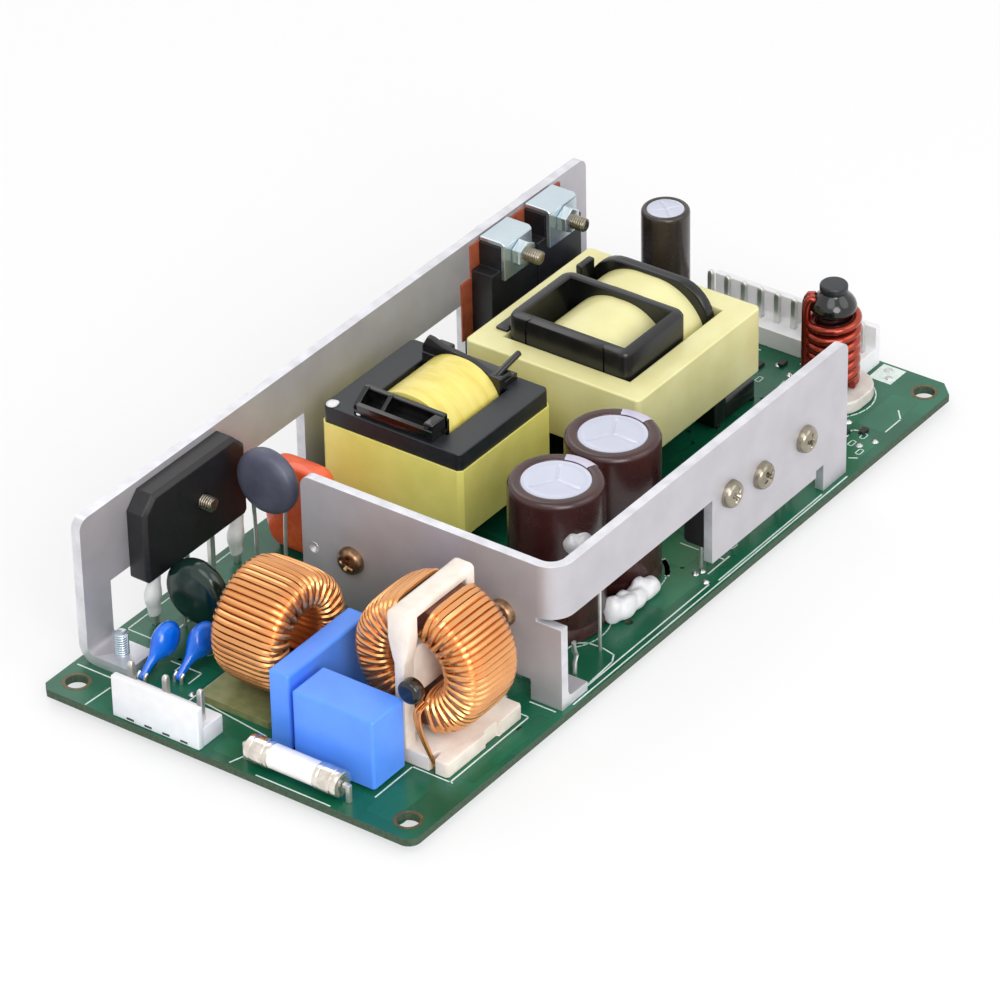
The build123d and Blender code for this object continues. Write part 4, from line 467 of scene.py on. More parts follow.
def poured(obj):
    """Run the lumps of a blob into one skin."""
    skin = obj.modifiers.new("skin", "REMESH")
    skin.mode = "VOXEL"
    skin.voxel_size = SKIN_VOXEL
    calm = obj.modifiers.new("calm", "SMOOTH")
    calm.factor = 0.7
    calm.iterations = 8


def stripe(form, points, width=0.3, low=BOARD_TOP, high=BOARD_TOP + PRINT_H):
    """Flat line on the board."""
    for (x0, y0), (x1, y1) in zip(points, points[1:]):
        long = hypot(x1 - x0, y1 - y0) or 1.0
        dx, dy = (x1 - x0) / long * width / 2, (y1 - y0) / long * width / 2
        corners = [(x0 - dx - dy, y0 - dy + dx), (x0 - dx + dy, y0 - dy - dx), (x1 + dx + dy, y1 + dy - dx),
                   (x1 + dx - dy, y1 + dy + dx)]
        form.loft([[at(u, v, z) for u, v in corners] for z in (low, high)])


def arc(cx, cy, r, a0, a1, steps=16):
    """Round stretch of an outline."""
    return [(cx + r * cos(radians(a0 + (a1 - a0) * k / steps)),
             cy + r * sin(radians(a0 + (a1 - a0) * k / steps))) for k in range(steps + 1)]


# Board and folded plates
softened("circuit_board", 0.08, LAMINATE, top=True)
softened("left_heat_plate", 0.16, CUT, sheet=2)
softened("right_heat_plate", 0.16, CUT, sheet=2)

# Moulded and cased parts
for node, width in (("bridge_rectifier", 0.2), ("side_wall_devices", 0.15), ("front_wall_devices", 0.15),
                    ("clamped_devices", 0.2), ("spring_clips", 0.2), ("insulating_sheets", 0.05),
                    ("wall_device_pads", 0.05), ("tall_box_capacitor", 0.35), ("low_box_capacitor", 0.35),
                    ("output_header", 0.15), ("line_choke_base", 0.1), ("fuse_leads", 0.12),
                    ("inductor_core", 0.3), ("transformer_core", 0.4), ("inductor_tape", 0.06),
                    ("top_chip_parts", 0.08), ("under_chip_parts", 0.08), ("device_leads", 0.08),
                    ("rectifier_leads", 0.1), ("rod_choke_pad", 0.4)):
    softened(node, width)


# Ring chokes
WIRE_R = 0.6
LAYER_LIFT = 0.9
TURN_STEPS = 30
HALF_REACH = radians(75)


def winding(form, centre, facing, outer, inner, half, first, last, turns, fan=1):
    """One wire wound round a ring: every other turn lies a layer further in and higher on the faces."""
    place = turned(*centre, facing)
    path = []
    for i in range(TURN_STEPS // 2, turns * TURN_STEPS - TURN_STEPS // 2 + 1):
        turn, t = divmod(i, TURN_STEPS)
        t = TAU * t / TURN_STEPS
        inward = (1 - cos(t)) / 2
        layer = turn % 2
        deep = inner[layer]
        wander = 0.10 * sin(turn * 2.4 + 1) * inward
        c, s = cos(t), sin(t)
        r = (outer + deep) / 2 + (outer - deep) / 2 * copysign(abs(c) ** 0.62, c) + wander
        w = (half - LAYER_LIFT * layer * inward) * copysign(abs(s) ** 0.5, s)
        way = (i / TURN_STEPS) / turns - 0.5
        phi = (first + last) / 2 + (last - first) * way * (fan + (1 - fan) * inward)
        path.append(place(r * cos(phi), r * sin(phi), w))
    form.tube(path, WIRE_R, sides=8)


LINE_RING = (24.8, 47.8, 15.3)
form = Form()
winding(form, LINE_RING, "Y", 11.45, (5.05, 6.35), 7.15, pi + 0.16, 3 * pi - 0.16, 52)
form.piece("line_choke_wire", "line_choke_winding")
form = Form()
ring = [(7.2, -5.2)] + rim(7.2, 7.8, -5.2, -5.6)
ring += [(10.1, -5.6), (10.6, -5.1), (10.6, 5.1), (10.1, 5.6), (7.8, 5.6), (7.2, 5.2)]
place = turned(*LINE_RING, "Y")
form.loft([ring_at(place, r, h, 64) for r, h in ring], loop=True)
# The ring's dark copper-brown look is painted shade of the wire between the turns
form.piece("line_choke_ring", "line_choke_core", looks=[CORE_PAINTED_COPPER_SHADE])

MODE_RING = (29.6, 15.9, 19.1)
for middle, node in ((-pi / 2, "mode_choke_left_winding"), (pi / 2, "mode_choke_right_winding")):
    form = Form()
    winding(form, MODE_RING, "X", 13.6, (5.9, 7.1), 7, middle - HALF_REACH, middle + HALF_REACH, 30, fan=1.03)
    form.piece(node.replace("winding", "wire"), node)
form = Form()
place = turned(*MODE_RING, "X")
ring = [(8, -5), (8.5, -5.5), (12.3, -5.5), (12.8, -5), (12.8, 5), (12.3, 5.5), (8.5, 5.5), (8, 5)]
form.loft([ring_at(place, r, h, 72) for r, h in ring], loop=True)
# The ring's dark copper-brown look is painted shade of the wire between the turns
form.piece("mode_choke_ring", "mode_choke_core", looks=[CORE_PAINTED_COPPER_SHADE])

# Rod choke
ROD = (164.3, 19)
ROD_COIL_R = 4.5
ROD_STEPS = 208
ROD_BEND = ((0.98, 22), (0.93, 23), (0.85, 23.7), (0.76, 23.8), (0.68, 23.2))
form = Form()
path = []
for i in range(ROD_STEPS + 1):
    t = TAU * i / 32
    z = 5.6 + (20.3 - 5.6) * i / ROD_STEPS
    path.append(at(ROD[0] + ROD_COIL_R * cos(t - 1.6), ROD[1] + ROD_COIL_R * sin(t - 1.6), z))
form.tube(path, 1.12, sides=14, squash=0.8)
for dx, dy in ((-3.6, 4), (-2, 5)):
    rise = [at(ROD[0] + dx, ROD[1] + dy, z) for z in (4.3, 8, 12, 16, 20.8)]
    rise += [at(ROD[0] + dx * k, ROD[1] + dy * k, z) for k, z in ROD_BEND]
    form.tube(rise, 0.9, sides=12)
form.piece("rod_choke_wire", "rod_choke_winding")
form = Form()
place = turned(ROD[0], ROD[1], 0)
form.lathe([(3.2, 4.2), (3.5, 4.4), (3.5, 20.6), (4.1, 20.9), (4.55, 21.5), (4.6, 22.2), (4.4, 22.9),
            (4, 23.6), (3.4, 24.3), (2.85, 24.8), (2.6, 25.2)], place, sides=40)
form.mark = 1
form.lathe([(2.5, 25.1), (2.62, 25.3), (2.78, 25.6), (2.8, 26.5), (2.72, 26.75), (2.5, 26.95), (0.9, 27)],
           place, sides=40)
form.piece("rod_choke_body", "rod_choke_core", looks=[GLOSS_BLACK, FINISHES["ferrite"]], sharp=40)


# Round capacitors
CAN_SIDES = 132
BULK = ((70.8, 18.7), (89.3, 19))
OUTPUT_CAN = (167.3, 60.4)


def can_top(form, place, radius, height, score, arms=3):
    """Flat can end with score lines that meet in the middle."""
    rings = [ring_at(place, radius, height - 0.8, CAN_SIDES)]
    for i in range(22):
        r = radius * (1 - i / 21.4)
        ring = []
        for k in range(CAN_SIDES):
            a = TAU * k / CAN_SIDES
            near = min(abs((a - TAU * q / arms + pi) % TAU - pi) for q in range(arms))
            cut = exp(-((near * r / 0.22) ** 2)) if r < radius * 0.78 else 0
            edge = 0.06 * exp(-(((r - radius * 0.9) / 0.35) ** 2))
            ring.append(place(r * cos(a), r * sin(a), height - score * cut - edge))
        rings.append(ring)
    form.loft(rings)


sleeves, cans = Form(), Form()
wall = [(7.6, 1.6), (8.5, 1.62)] + rim(8.5, 9, 1.65, 2.2)
wall += [(9.05, 3.6), (8.75, 4.4), (8.7, 4.8), (9.05, 5.5), (9.08, 18), (9.06, 30.9)]
wall += [(9.06 - 1.1 * (1 - cos(a)), 31.1 + 1.3 * sin(a)) for a in (0.2, 0.5, 0.8, 1.1, 1.4, 1.57)]
wall += [(7, 32.4), (6.7, 32.32), (6.55, 32.15), (6.5, 31)]
for x, y in BULK:
    place = turned(x, y, 0, spin=0.5)
    sleeves.lathe(wall, place, sides=96)
    can_top(cans, place, 6.5, 32.1, 0.2)
sleeves.piece("bulk_sleeves", "bulk_capacitor_sleeves", sharp=55)
cans.piece("bulk_can_ends", "bulk_capacitor_cans", sharp=60)
form = Form()
place = turned(*OUTPUT_CAN, 0, spin=0.9)
wall = [(4, 1.6), (4.6, 1.65), (4.85, 1.9), (4.88, 3), (4.7, 3.7), (4.7, 4), (4.88, 4.7), (4.88, 27.8)]
wall += [(4.88 - 0.75 * (1 - cos(a)), 28 + 0.9 * sin(a)) for a in (0.3, 0.7, 1.1, 1.57)]
wall += [(3.9, 28.85), (3.75, 28.7), (3.7, 27.5)]
form.lathe(wall, place, sides=72)
form.piece("output_sleeve", "output_capacitor_sleeve", looks=[BROWN], sharp=55)
form = Form()
can_top(form, place, 3.7, 28.66, 0.26, arms=4)
form.piece("output_can_end", "output_capacitor_can", sharp=60)

# Coated parts
DISCS = (("thermistor", (50.4, 69.4, 24.4), 2.1, 19), ("varistor", (30, 70.6, 10.8), 2.2, 5.4))
DISC_R = 6.8
LEAD_SIDE = 3.75
DROPS = ((19, 69.6), (22.6, 64))
LOW_DROP = (70.6, 78.4)
FILM = (62.2, 71.1)
for node, spot, half, _ in DISCS:
    form = Form()
    tune = chance.uniform(0, TAU)
    outline = [(u * (1 + 0.012 * sin(3 * k * TAU / 56 + tune)), v)
               for k, (u, v) in enumerate(circle(DISC_R * 0.985, 56))]
    form.cushion(outline, half, turned(*spot, "X"), layers=18, power=0.27)
    form.piece(node + "_coating", node)

DROP = ((-3.85, 0.4), (-3.6, 1.35), (-3.1, 2.3), (-2.2, 3.15), (-1, 3.72), (0.2, 3.85), (1.4, 3.5),
        (2.4, 2.75), (3.3, 1.95), (4.3, 1.3), (5.6, 0.95), (7, 0.8), (8, 0.7), (8.6, 0.6), (8.9, 0.35))
form = Form()
for x, y in DROPS:
    path = [at(x - 0.86 * s, y, 6.8 - 0.40 * s - 0.012 * max(s, 0) ** 2) for s, r in DROP]
    flat = [min(1, 0.56 + 0.06 * max(s, 0)) for s, r in DROP]
    form.tube(path, [0.92 * r for s, r in DROP], sides=28, squash=flat)
form.lump(*LOW_DROP, 8.4, 2.2, 2.9, 2.9, rough=0.02)
for side in (-1.6, 1.6):
    form.tube([at(LOW_DROP[0], LOW_DROP[1] + side, z) for z in (1.6, 3.4, 5.2, 6.6)], 0.36)
form.piece("blue_capacitor_coatings", "blue_capacitors", sharp=60)

form = Form()
for x, y in DROPS:
    for side in (-0.8, 0.8):
        form.tube([at(*p) for p in ((x - 7.5, y + side, 1.6), (x - 7.5, y + side, 2.2),
                                    (x - 7.45, y + side, 2.7), (x - 7.2, y + side, 3),
                                    (x - 6.7, y + side, 3.3))], 0.33)
for _, (x, y, _), _, low in DISCS:
    for side in (-LEAD_SIDE, LEAD_SIDE):
        lean = 0.35 if side > 0 else -0.35
        form.tube([at(*p) for p in ((x + lean, y + side, 1.6), (x + lean, y + side, low * 0.55),
                                    (x + lean * 0.6, y + side, low * 0.8), (x, y + side, low + 0.2))], 0.38)
form.piece("coated_part_leads", "lead_wires")

form = Form()
outline = [(3 * copysign(abs(cos(a)) ** 0.5, cos(a)), 7.5 * copysign(abs(sin(a)) ** 0.34, sin(a)))
           for a in [TAU * k / 56 for k in range(56)]]
form.cushion(outline, 9.4, turned(*FILM, 11.9), layers=20, power=0.26)
for side in (-5.4, 5.4):
    form.tube([at(FILM[0], FILM[1] + side, z) for z in (1.6, 2.4, 3.2, 4)], 0.36)
form.piece("film_capacitor_coating", "film_capacitor", sharp=60)


# Screws: places, then the turn of the cross recess where each has its own
FOOT_SCREWS = ((14.7, 76.6), (166.3, 76.6))
SIDE_WALL, SIDE_SCREWS = 1.55, ((102, 18.6, 0.5), (112.6, 17, 1), (127.3, 17.2, 0.2))
FRONT_WALL, FRONT_SCREWS = 47, ((47.8, 16.9, 0.3), (13.8, 18.4, 0.8))
LEFT_WALL, RECTIFIER_SCREW, CLIP_SCREWS = 83.5, (41, 22.1), ((138, 28.6), (153.2, 28.6))
CLIP_FACE = 76.1
HEAD_R, HEAD_H, HEAD_SIDES = 2.78, 1.95, 56
RECESS_REACH = 1.8
RECESS_HALF = 0.5
THREAD_PITCH = 0.5
THREAD_SIDES = 20
SHANK_R = 1.46


def head(form, place, spin):
    """Pan head with a crown and a cross recess."""
    rings = [ring_at(place, HEAD_R, h, HEAD_SIDES) for h in (0, 0.15)]
    for i in range(20):
        r = HEAD_R * (1 - i / 19.6)
        ring = []
        for k in range(HEAD_SIDES):
            a = TAU * k / HEAD_SIDES
            u, v = r * cos(a + spin), r * sin(a + spin)
            h = 0.25 + (HEAD_H - 0.25) * (0.8 * (1 - (r / HEAD_R) ** 6) ** 0.5
                                          + 0.2 * (1 - (r / HEAD_R) ** 2))
            arm = min(max(abs(p) - RECESS_REACH, 3 * (abs(q) - RECESS_HALF)) for p, q in ((u, v), (v, u)))
            deep = min(max(-arm / 0.7, 0), 1)
            h -= deep * deep * (3 - 2 * deep) * min(1, 1.9 - r / 1.2 if r > 1.08 else 1)
            ring.append(place(r * cos(a), r * sin(a), h))
        rings.append(ring)
    form.loft(rings)


def shank(form, place, high, low=-0.1):
    """Threaded end: the radius follows the pitch round the bar."""
    steps = max(4, int((high - low) / THREAD_PITCH * 10))
    rings = []
    for i in range(steps + 1):
        h = low + (high - low) * i / steps
        end = 0.75 + 0.25 * min(1, (high - h + 0.2) / 0.5)
        ring = []
        for k in range(THREAD_SIDES):
            a = TAU * k / THREAD_SIDES
            r = (SHANK_R - 0.17 * (1 + cos(TAU * (h / THREAD_PITCH - k / THREAD_SIDES)))) * end
            ring.append(place(r * cos(a), r * sin(a), h))
        rings.append(ring)
    form.loft(rings)


def screw(form, x, y, z, out, spin, length):
    """Head that faces the named way, with its thread behind it."""
    head(form, turned(x, y, z, out), spin)
    shank(form, turned(x, y, z, out[1:] if out[0] == "-" else "-" + out), length)


form = Form()
for x, y in FOOT_SCREWS:
    screw(form, x, y, 0, "-Z", 0.4, 8.2)
form.piece("foot_screws_threaded", "foot_screws", looks=[FINISHES["clip_zinc"]], sharp=55)
form = Form()
for x, z, spin in SIDE_SCREWS:
    screw(form, x, SIDE_WALL, z, "-Y", spin, 8.4)
form.mark = 1
for y, z, spin in FRONT_SCREWS:
    screw(form, FRONT_WALL, y, z, "-X", spin, 8.4)
form.piece("plate_screws_threaded", "plate_screws", looks=[FINISHES["screw_steel"], BRONZE], sharp=55)
form = Form()
screw(form, RECTIFIER_SCREW[0], LEFT_WALL, RECTIFIER_SCREW[1], "Y", 0.6, 8.8)
form.piece("rectifier_screw_threaded", "rectifier_screw", sharp=55)
form = Form()
for x, z in CLIP_SCREWS:
    head(form, turned(x, LEFT_WALL, z, "Y"), 0.2)
    form.mark = 1
    shank(form, turned(x, LEFT_WALL, z, "-Y"), 13.9)
    form.mark = 0
    form.slab(circle(2.75, 6), 1.05, 3.2, 0.25, turned(x, CLIP_FACE, z, "-Y"))
form.piece("clip_screws_and_nuts", "clip_screws", looks=[FINISHES["clip_zinc"], FINISHES["screw_steel"]],
           sharp=40)

# White frame of the two-winding choke
form = Form()
wedge = [(13.6, 27.5), (13.6, 32.9), (14, 33.45), (14.6, 33.6), (17.2, 33.6), (17.8, 33.45), (18.2, 32.9),
         (18.2, 27.5), (17.3, 23.6), (16.9, 22.6), (16.9, 4.6), (14.8, 4.6), (14.8, 22.6), (14.4, 23.6)]
for x0, x1 in ((18.5, 21.5), (36, 38.6)):
    form.slab(wedge, x0, x1, 0.35, side_on)
bar = [(13.62, 31.9), (13.62, 32.9), (14.02, 33.43), (14.6, 33.58), (17.2, 33.58), (17.78, 33.43),
       (18.18, 32.9), (18.18, 31.9)]
form.slab(bar, 21.2, 36.3, 0, side_on)
form.block(21, 36.2, 15, 16.8, 14.1, 24.1, 0.3)
base = [(18.6, 6.3), (19.1, 5.8), (30, 5.8), (30.2, 6.4), (34.4, 6.4), (34.6, 5.8), (40.9, 5.8), (41.4, 6.3),
        (41.4, 27.9), (40.9, 28.4), (19.1, 28.4), (18.6, 27.9), (18.6, 10.1), (20.8, 9.8), (21, 9.3),
        (20.8, 8.8), (18.6, 8.5)]
form.slab(base, 1.6, 4.8, 0.35)
form.piece("mode_choke_frame_moulding", "mode_choke_frame", looks=[FRAME_WHITE], sharp=50)
form = Form()
place = turned(18.6, 12.4, 18.9, "-X")
form.lathe([(2, 0), (2.28, 0.2), (2.34, 0.5), (2.34, 1.8), (2.26, 2.15), (2, 2.42), (1.5, 2.56), (0.6, 2.6)],
           place, sides=36)
form.piece("mode_choke_ferrite_bead", "mode_choke_bead", looks=[GLOSS_BLACK])
form = Form()
for dy, dz in ((0, 0), (0.55, 0.35), (-0.5, 0.4)):
    form.tube(eased([(20.6, 11.6 + dy, 14.6 + dz), (18.8, 12.2 + dy, 13.2 + dz), (18.4, 11.8 + dy * 0.9, 11),
                     (18.6, 10.9 + dy * 0.7, 8), (19, 9.9 + dy * 0.5, 5.2), (19.4, 9.4 + dy * 0.3, 3.2),
                     (19.7, 9.3 + dy * 0.3, 1.7)]), 0.3)
form.piece("mode_choke_tails", slot="copper_wire")

# Inductor former
form = Form()
for x0, x1 in ((78.4, 80), (96.2, 97.8)):
    form.block(x0, x1, 49.4, 67.8, 2.6, 29.6, 0.25)
for x0, x1 in ((73.8, 80), (96.2, 102.4)):
    form.block(x0, x1, 45.6, 71.6, 1.6, 8.8, 0.3)
form.block(74.5, 79, 49.5, 67.7, 26.95, 28.3, 0.2)
form.block(97.4, 101.8, 49.5, 67.7, 26.95, 28.3, 0.2)
form.block(78.3, 79.5, 49.4, 67.8, 27.5, 31, 0.3)
slope = [(74.5, 28.2), (74.7, 28.9), (78.2, 31.3), (78.7, 31.2), (78.9, 28.2)]
for y0, y1 in ((66.7, 67.8), (61.2, 62)):
    form.slab(slope, y0, y1, 0.2, upright)
form.slab([(74.5, 28.1), (74.3, 29.3), (75, 29.6), (75.5, 28.1)], 49.5, 66.9, 0.15, upright)
form.block(74.6, 79.4, 49.4, 51.6, 27.8, 30.7, 0.35)
fin = [(49.5, 27.4), (49.5, 29.2), (52.2, 29.6), (56, 31.1), (60, 31.7), (63, 31.9), (65.6, 32.9), (66.6, 33),
       (67.8, 30.8), (67.8, 27.4)]
form.slab(fin, 96.4, 97.7, 0.25, side_on)
form.block(97.2, 101.2, 63.4, 67, 27.9, 30.2, 0.4)
form.tube(eased([(97, 51.2, 29), (98.4, 51.1, 29.6), (101, 51, 30.2), (103.3, 50.9, 30.7),
                 (104.2, 50.9, 30.8)], 3), 0.65, sides=12)
form.block(96.6, 100.2, 49.6, 52, 27.9, 29.4, 0.3)
form.piece("inductor_former", "inductor_bobbin", looks=[GLOSS_BLACK], sharp=38)
form = Form()
for x, y, r in ((74.9, 72.9, 1.15), (75.4, 66.6, 0.9)):
    form.lump(x, y, 27.2, r * 1.2, r, 0.42, rough=0.08)
form.piece("inductor_glue_dots", slot="silicone_white")


# Transformer former
form = Form()
outer = rounded(112.8, 133.2, 32, 60, 2.2, steps=5)
cut = []
for u, v in ((112.8, 55.4), (112.8, 37.4)):
    cut += [(u, v + 0.2), (u + 0.3, v + 0.14), (u + 0.3, v - 0.14), (u, v - 0.2)]
left_end = next(i for i, p in enumerate(outer) if p[0] < 112.81 and p[1] < 56)
outer = outer[:left_end] + cut + outer[left_end:]
inner = [(min(max(u, 115.2), 130.8), min(max(v, 34.4), 57.6)) for u, v in outer]
inner = [(u + 0.002 * i, v) if 0 < i < len(inner) - 1 else (u, v) for i, (u, v) in enumerate(inner)]
hollow_ring(form, outer, inner, 7.4, 32.2, 0.9)
arch = rounded(32, 60, 7, 32.6, 7.6, steps=8)
form.slab(arch, 140.2, 142.6, 0.4, side_on)
form.block(136, 140.4, 58.6, 60.1, 26, 31.4, 0.3)
for x0, x1, z1 in ((106.8, 115.8, 8.2), (140.2, 144.2, 13.4), (144.2, 154.2, 6.2)):
    form.block(x0, x1, 30.5, 61.5, 2.2, z1, 0.3)
for x0 in (106.8, 141.2, 153.2):
    form.block(x0, x0 + 1, 30.5, 61.5, 1.6, 2.3, 0.1)
form.piece("transformer_former", "transformer_bobbin", sharp=38)
form = Form()
form.slab(rounded(114, 119.2, 60.7, 63.4, 0.3), 27, 27.5, 0.12)
form.block(115.2, 117.6, 60.1, 61.3, 26.9, 28, 0.2)
form.piece("transformer_catch", slot="bobbin_black")

# Low film capacitor in the far corner: lower than its solid, which would show where the photo has nothing
CASE_DROP = 4.2
form = Form()
for x0, x1, y0, y1, z0, z1 in solids_of("output_film_capacitor"):
    form.block(x0, x1, y0, y1, z0, z1 - CASE_DROP, 0.6)
form.piece("output_film_capacitor_case", "output_film_capacitor")

# Fuse
form, caps = Form(), Form()
place = turned(3.4, 0, 4.9, "Y")
form.lathe([(2.1, 22), (2.34, 22.05), (2.36, 22.4)] + [(2.36, 22.4 + 0.8 * k) for k in range(1, 13)]
           + [(2.36, 33), (2.34, 33.35), (2.1, 33.4)], place, sides=48)
form.piece("fuse_tube", "fuse_body", sharp=50)
for start, way in ((17.4, 1), (38, -1)):
    profile = [(0.9, 0.12), (1.5, 0.02), (2.2, 0), (2.46, 0.12), (2.58, 0.4), (2.58, 1.15), (2.4, 1.3),
               (2.38, 1.5), (2.56, 1.65), (2.6, 2), (2.6, 3.9), (2.44, 4.05), (2.44, 4.3), (2.58, 4.45),
               (2.6, 4.95), (2.52, 5.15), (2.37, 5.2), (2.35, 4.9)]
    caps.lathe([(r, start + way * h) for r, h in profile], place, sides=48)
caps.piece("fuse_end_caps", "fuse_caps", sharp=40)

# Terminals
PIN_CORNERS = ((1, 0.8), (0.8, 1), (-0.8, 1), (-1, 0.8), (-1, -0.8), (-0.8, -1), (0.8, -1), (1, -0.8))
form = Form()
form.block(0.55, 7.65, 47.65, 67.35, 1.6, 5.6, 0.25)
form.block(0.5, 2.05, 47.6, 67.4, 1.62, 10.4, 0.2)
form.mark = 1
for k in range(4):
    y = 50.2 + 4.1 * k
    form.block(0.5, 0.9, y, y + 1.7, 2, 2.5, 0.05, lambda u, v, w: at(u - 0.02, v, w))
form.piece("input_terminal_block", "input_header", looks=[FINISHES["white_plastic"], FINISHES["chip_dark"]],
           sharp=40)
for node in ("input_header_pins", "output_header_pins"):
    form = Form()
    for x0, x1, y0, y1, z0, z1 in solids_of(node):
        if z1 - z0 < max(x1 - x0, y1 - y0):
            form.block(x0, x1, y0, y1, z0, z1, 0.1)
            continue
        cx, cy, hx, hy = (x0 + x1) / 2, (y0 + y1) / 2, (x1 - x0) / 2, (y1 - y0) / 2
        steps = ((0.55, z0), (1, z0 + 0.5), (1, z1 - 0.9), (0.88, z1 - 0.35), (0.62, z1 - 0.04), (0.5, z1))
        form.loft([[at(cx + hx * k * u, cy + hy * k * v, z) for u, v in PIN_CORNERS] for k, z in steps])
    form.piece(node + "_tapered", node, sharp=35)

# Sleeves on the rectifier leads
SLEEVES_X, SLEEVES_Y = (27.8, 52.4), 79.3
SLEEVE_TOP, SLEEVE_FOOT = 12.5, 3.6
form = Form()
for x in SLEEVES_X:
    path, radii = [], []
    for i in range(15):
        k = i / 14
        path.append(at(x + 0.35 * sin(5 * k + x), SLEEVES_Y + 0.3 * cos(4 * k + x),
                       SLEEVE_TOP - (SLEEVE_TOP - SLEEVE_FOOT) * k))
        radii.append(1.3 + 0.55 * sin(pi * k) ** 0.7 + 0.16 * sin(11 * k + x))
    form.tube(path, radii, sides=14, squash=0.72)
form.piece("rectifier_lead_sleeves", "lead_sleeves", sharp=60)

# Joints under the board
form = Form()
for x0, x1, y0, y1, z0, z1 in solids_of("solder_joints"):
    place = turned((x0 + x1) / 2, (y0 + y1) / 2, 0, "-Z", spin=x0)
    bend = chance.uniform(-0.1, 0.1)
    rings = []
    for r, h in ((1.08, 0), (1, 0.12), (0.72, 0.45), (0.5, 0.85), (0.42, 1.2), (0.4, 1.8), (0.3, 1.93)):
        rings.append([place(u + bend * h, v, h) for u, v in circle(r, 14)])
    form.loft(rings)
form.piece("solder_fillets", "solder_joints", sharp=60)

# Poured silicone
form = Form()
for x, y, z, rx, ry, rz in ((75.6, 9.9, 4.2, 2.2, 1.9, 3), (78.6, 9.3, 3.6, 3.6, 2.3, 2.6),
                            (82.4, 9.4, 3.2, 3.4, 2.2, 2.2), (86.4, 9.2, 3.2, 3, 2, 2.2),
                            (84.6, 10.2, 4.6, 1.8, 1.4, 1.6)):
    form.lump(x, y, z, rx, ry, rz, rough=0.09)
poured(form.piece("poured_silicone", "sealing_compound", sharp=80))
form = Form()
for x, y, z, rx, ry, rz in ((66.8, 10.2, 23, 3, 2.1, 2.8), (69.4, 9.6, 21.6, 2.6, 1.5, 2),
                            (65.2, 11.4, 24.2, 1.8, 1.8, 2)):
    form.lump(x, y, z, rx, ry, rz, rough=0.12)
poured(form.piece("silicone_on_capacitor", slot="silicone_white", sharp=80))

# Pale stripe down the two large capacitors
form = Form()
for x, y in BULK:
    place = turned(x, y, 0)
    profile = [(6.58, 32.3), (6.75, 32.42), (7, 32.45), (7.96, 32.45), (8.2, 32.41), (8.5, 32.3),
               (8.78, 32.06), (8.98, 31.75), (9.09, 31.38), (9.12, 31), (9.13, 20), (9.13, 6)]
    sweep = [-0.40 + 0.065 * k for k in range(13)]
    under, over = ([[place((r + lift) * cos(a), (r + lift) * sin(a), h + lift * 0.5) for a in sweep]
                    for r, h in profile] for lift in (0, 0.05))
    form.loft([u + o[::-1] for u, o in zip(under, over)])
form.piece("capacitor_stripes", looks=[PALE_STRIPE], slot="brown_sleeve", sharp=60)

# Small things in front of the capacitors and in the plate
form = Form()
form.tube([at(66.8, 6.5, z) for z in (1.6, 5, 10, 15, 18.6)], 0.36)
form.tube([at(*p) for p in ((58, 6, 1.6), (58.3, 6.2, 3.6), (59.4, 6.5, 4.8), (58.6, 6.4, 6.4),
                            (58.2, 6.3, 8.2))], 0.42)
form.tube([at(*p) for p in ((59.4, 6.8, 1.6), (59.6, 6.9, 4.4), (58.8, 6.9, 6), (59.2, 6.8, 7.8))], 0.36)
form.piece("upright_leads", slot="tinned_lead")
form = Form()
place = turned(47, 56.5, 16.4, "-X")
form.lathe([(1.14, -1.9), (1.15, 0), (1.1, 0.05), (0.95, -0.05), (0.5, -0.5), (0.2, -0.62)], place, sides=28)
form.piece("plate_dimple", looks=[CUT], slot="plate_aluminium")


# Board print, copper under the mask, rims of the holes and joints on top
PRINT_LINES = (
    (56, 1.9, 95.5, 1.9), (50, 0.6, 141, 0.6), (98, 1.2, 133, 1.2),
    (63.2, 11.8, 66.2, 11.3, 67.4, 9.6, 67.6, 6.6, 66.9, 3.5, 64.9, 2.5, 56.7, 2.1), (0.4, 73.6, 6.8, 73.2),
    (9.4, 82.8, 9.4, 70.6), (12.9, 56.5, 10.9, 40.4, 8.4, 39.5), (1, 41, 7.6, 38.8), (0.5, 34.7, 0.5, 18.4),
    (7.2, 13.3, 18.2, 13.3, 18.2, 4.6), (18.2, 5, 42.2, 5, 42.2, 29), (46.2, 7.55, 46.2, 2),
    (146.8, 3.8, 147.6, 2.55), (11.6, 39.2, 39.8, 39.2, 39.8, 58.4), (8.2, 58.8, 39.8, 58.8),
    (13.4, 70.4, 13.4, 81.4), (23.4, 76.4, 23.4, 82.4, 56, 82.4), (26, 74.8, 34.4, 74.8),
    (17.8, 66.8, 21.8, 66.8), (17.8, 66, 21.8, 66), (19.8, 66.8, 19.8, 69.2),
    (19.8, 66, 19.8, 62.2, 16, 62.2), (36, 62, 44, 62, 44, 60.2), (34.8, 60.4, 34.8, 75.6),
    (46.4, 61, 46.4, 76.6, 54.6, 76.6), (104.2, 4.4, 104.2, 14), (98.6, 4, 105.6, 4),
    (151.4, 24.6, 155.4, 28.4, 163, 29.4), (150.6, 8.6, 153, 9.6, 155.6, 8.6, 156.6, 6.4),
    (158.6, 3, 164, 3, 166.4, 5), (170.1, 39.7, 170.1, 57.6), (170.2, 16.8, 170.2, 30.2),
    (44.2, 30.6, 44.2, 44.8), (57.4, 42, 72, 42), (104.8, 18, 104.8, 30, 112, 30), (143.8, 8.6, 143.8, 24),
    (146.2, 42, 152.8, 42),
)
form = Form()
for line in PRINT_LINES:
    stripe(form, list(zip(line[::2], line[1::2])))
stripe(form, arc(89.3, 19, 10, -62, -34), 1)
for line in (arc(164.3, 19, 8.6, -150, 60), arc(70.8, 18.7, 9.9, -125, -30), arc(89.3, 19, 9.9, -150, -60),
             arc(30, 70.6, 7.6, 200, 250)):
    stripe(form, line, 0.26)
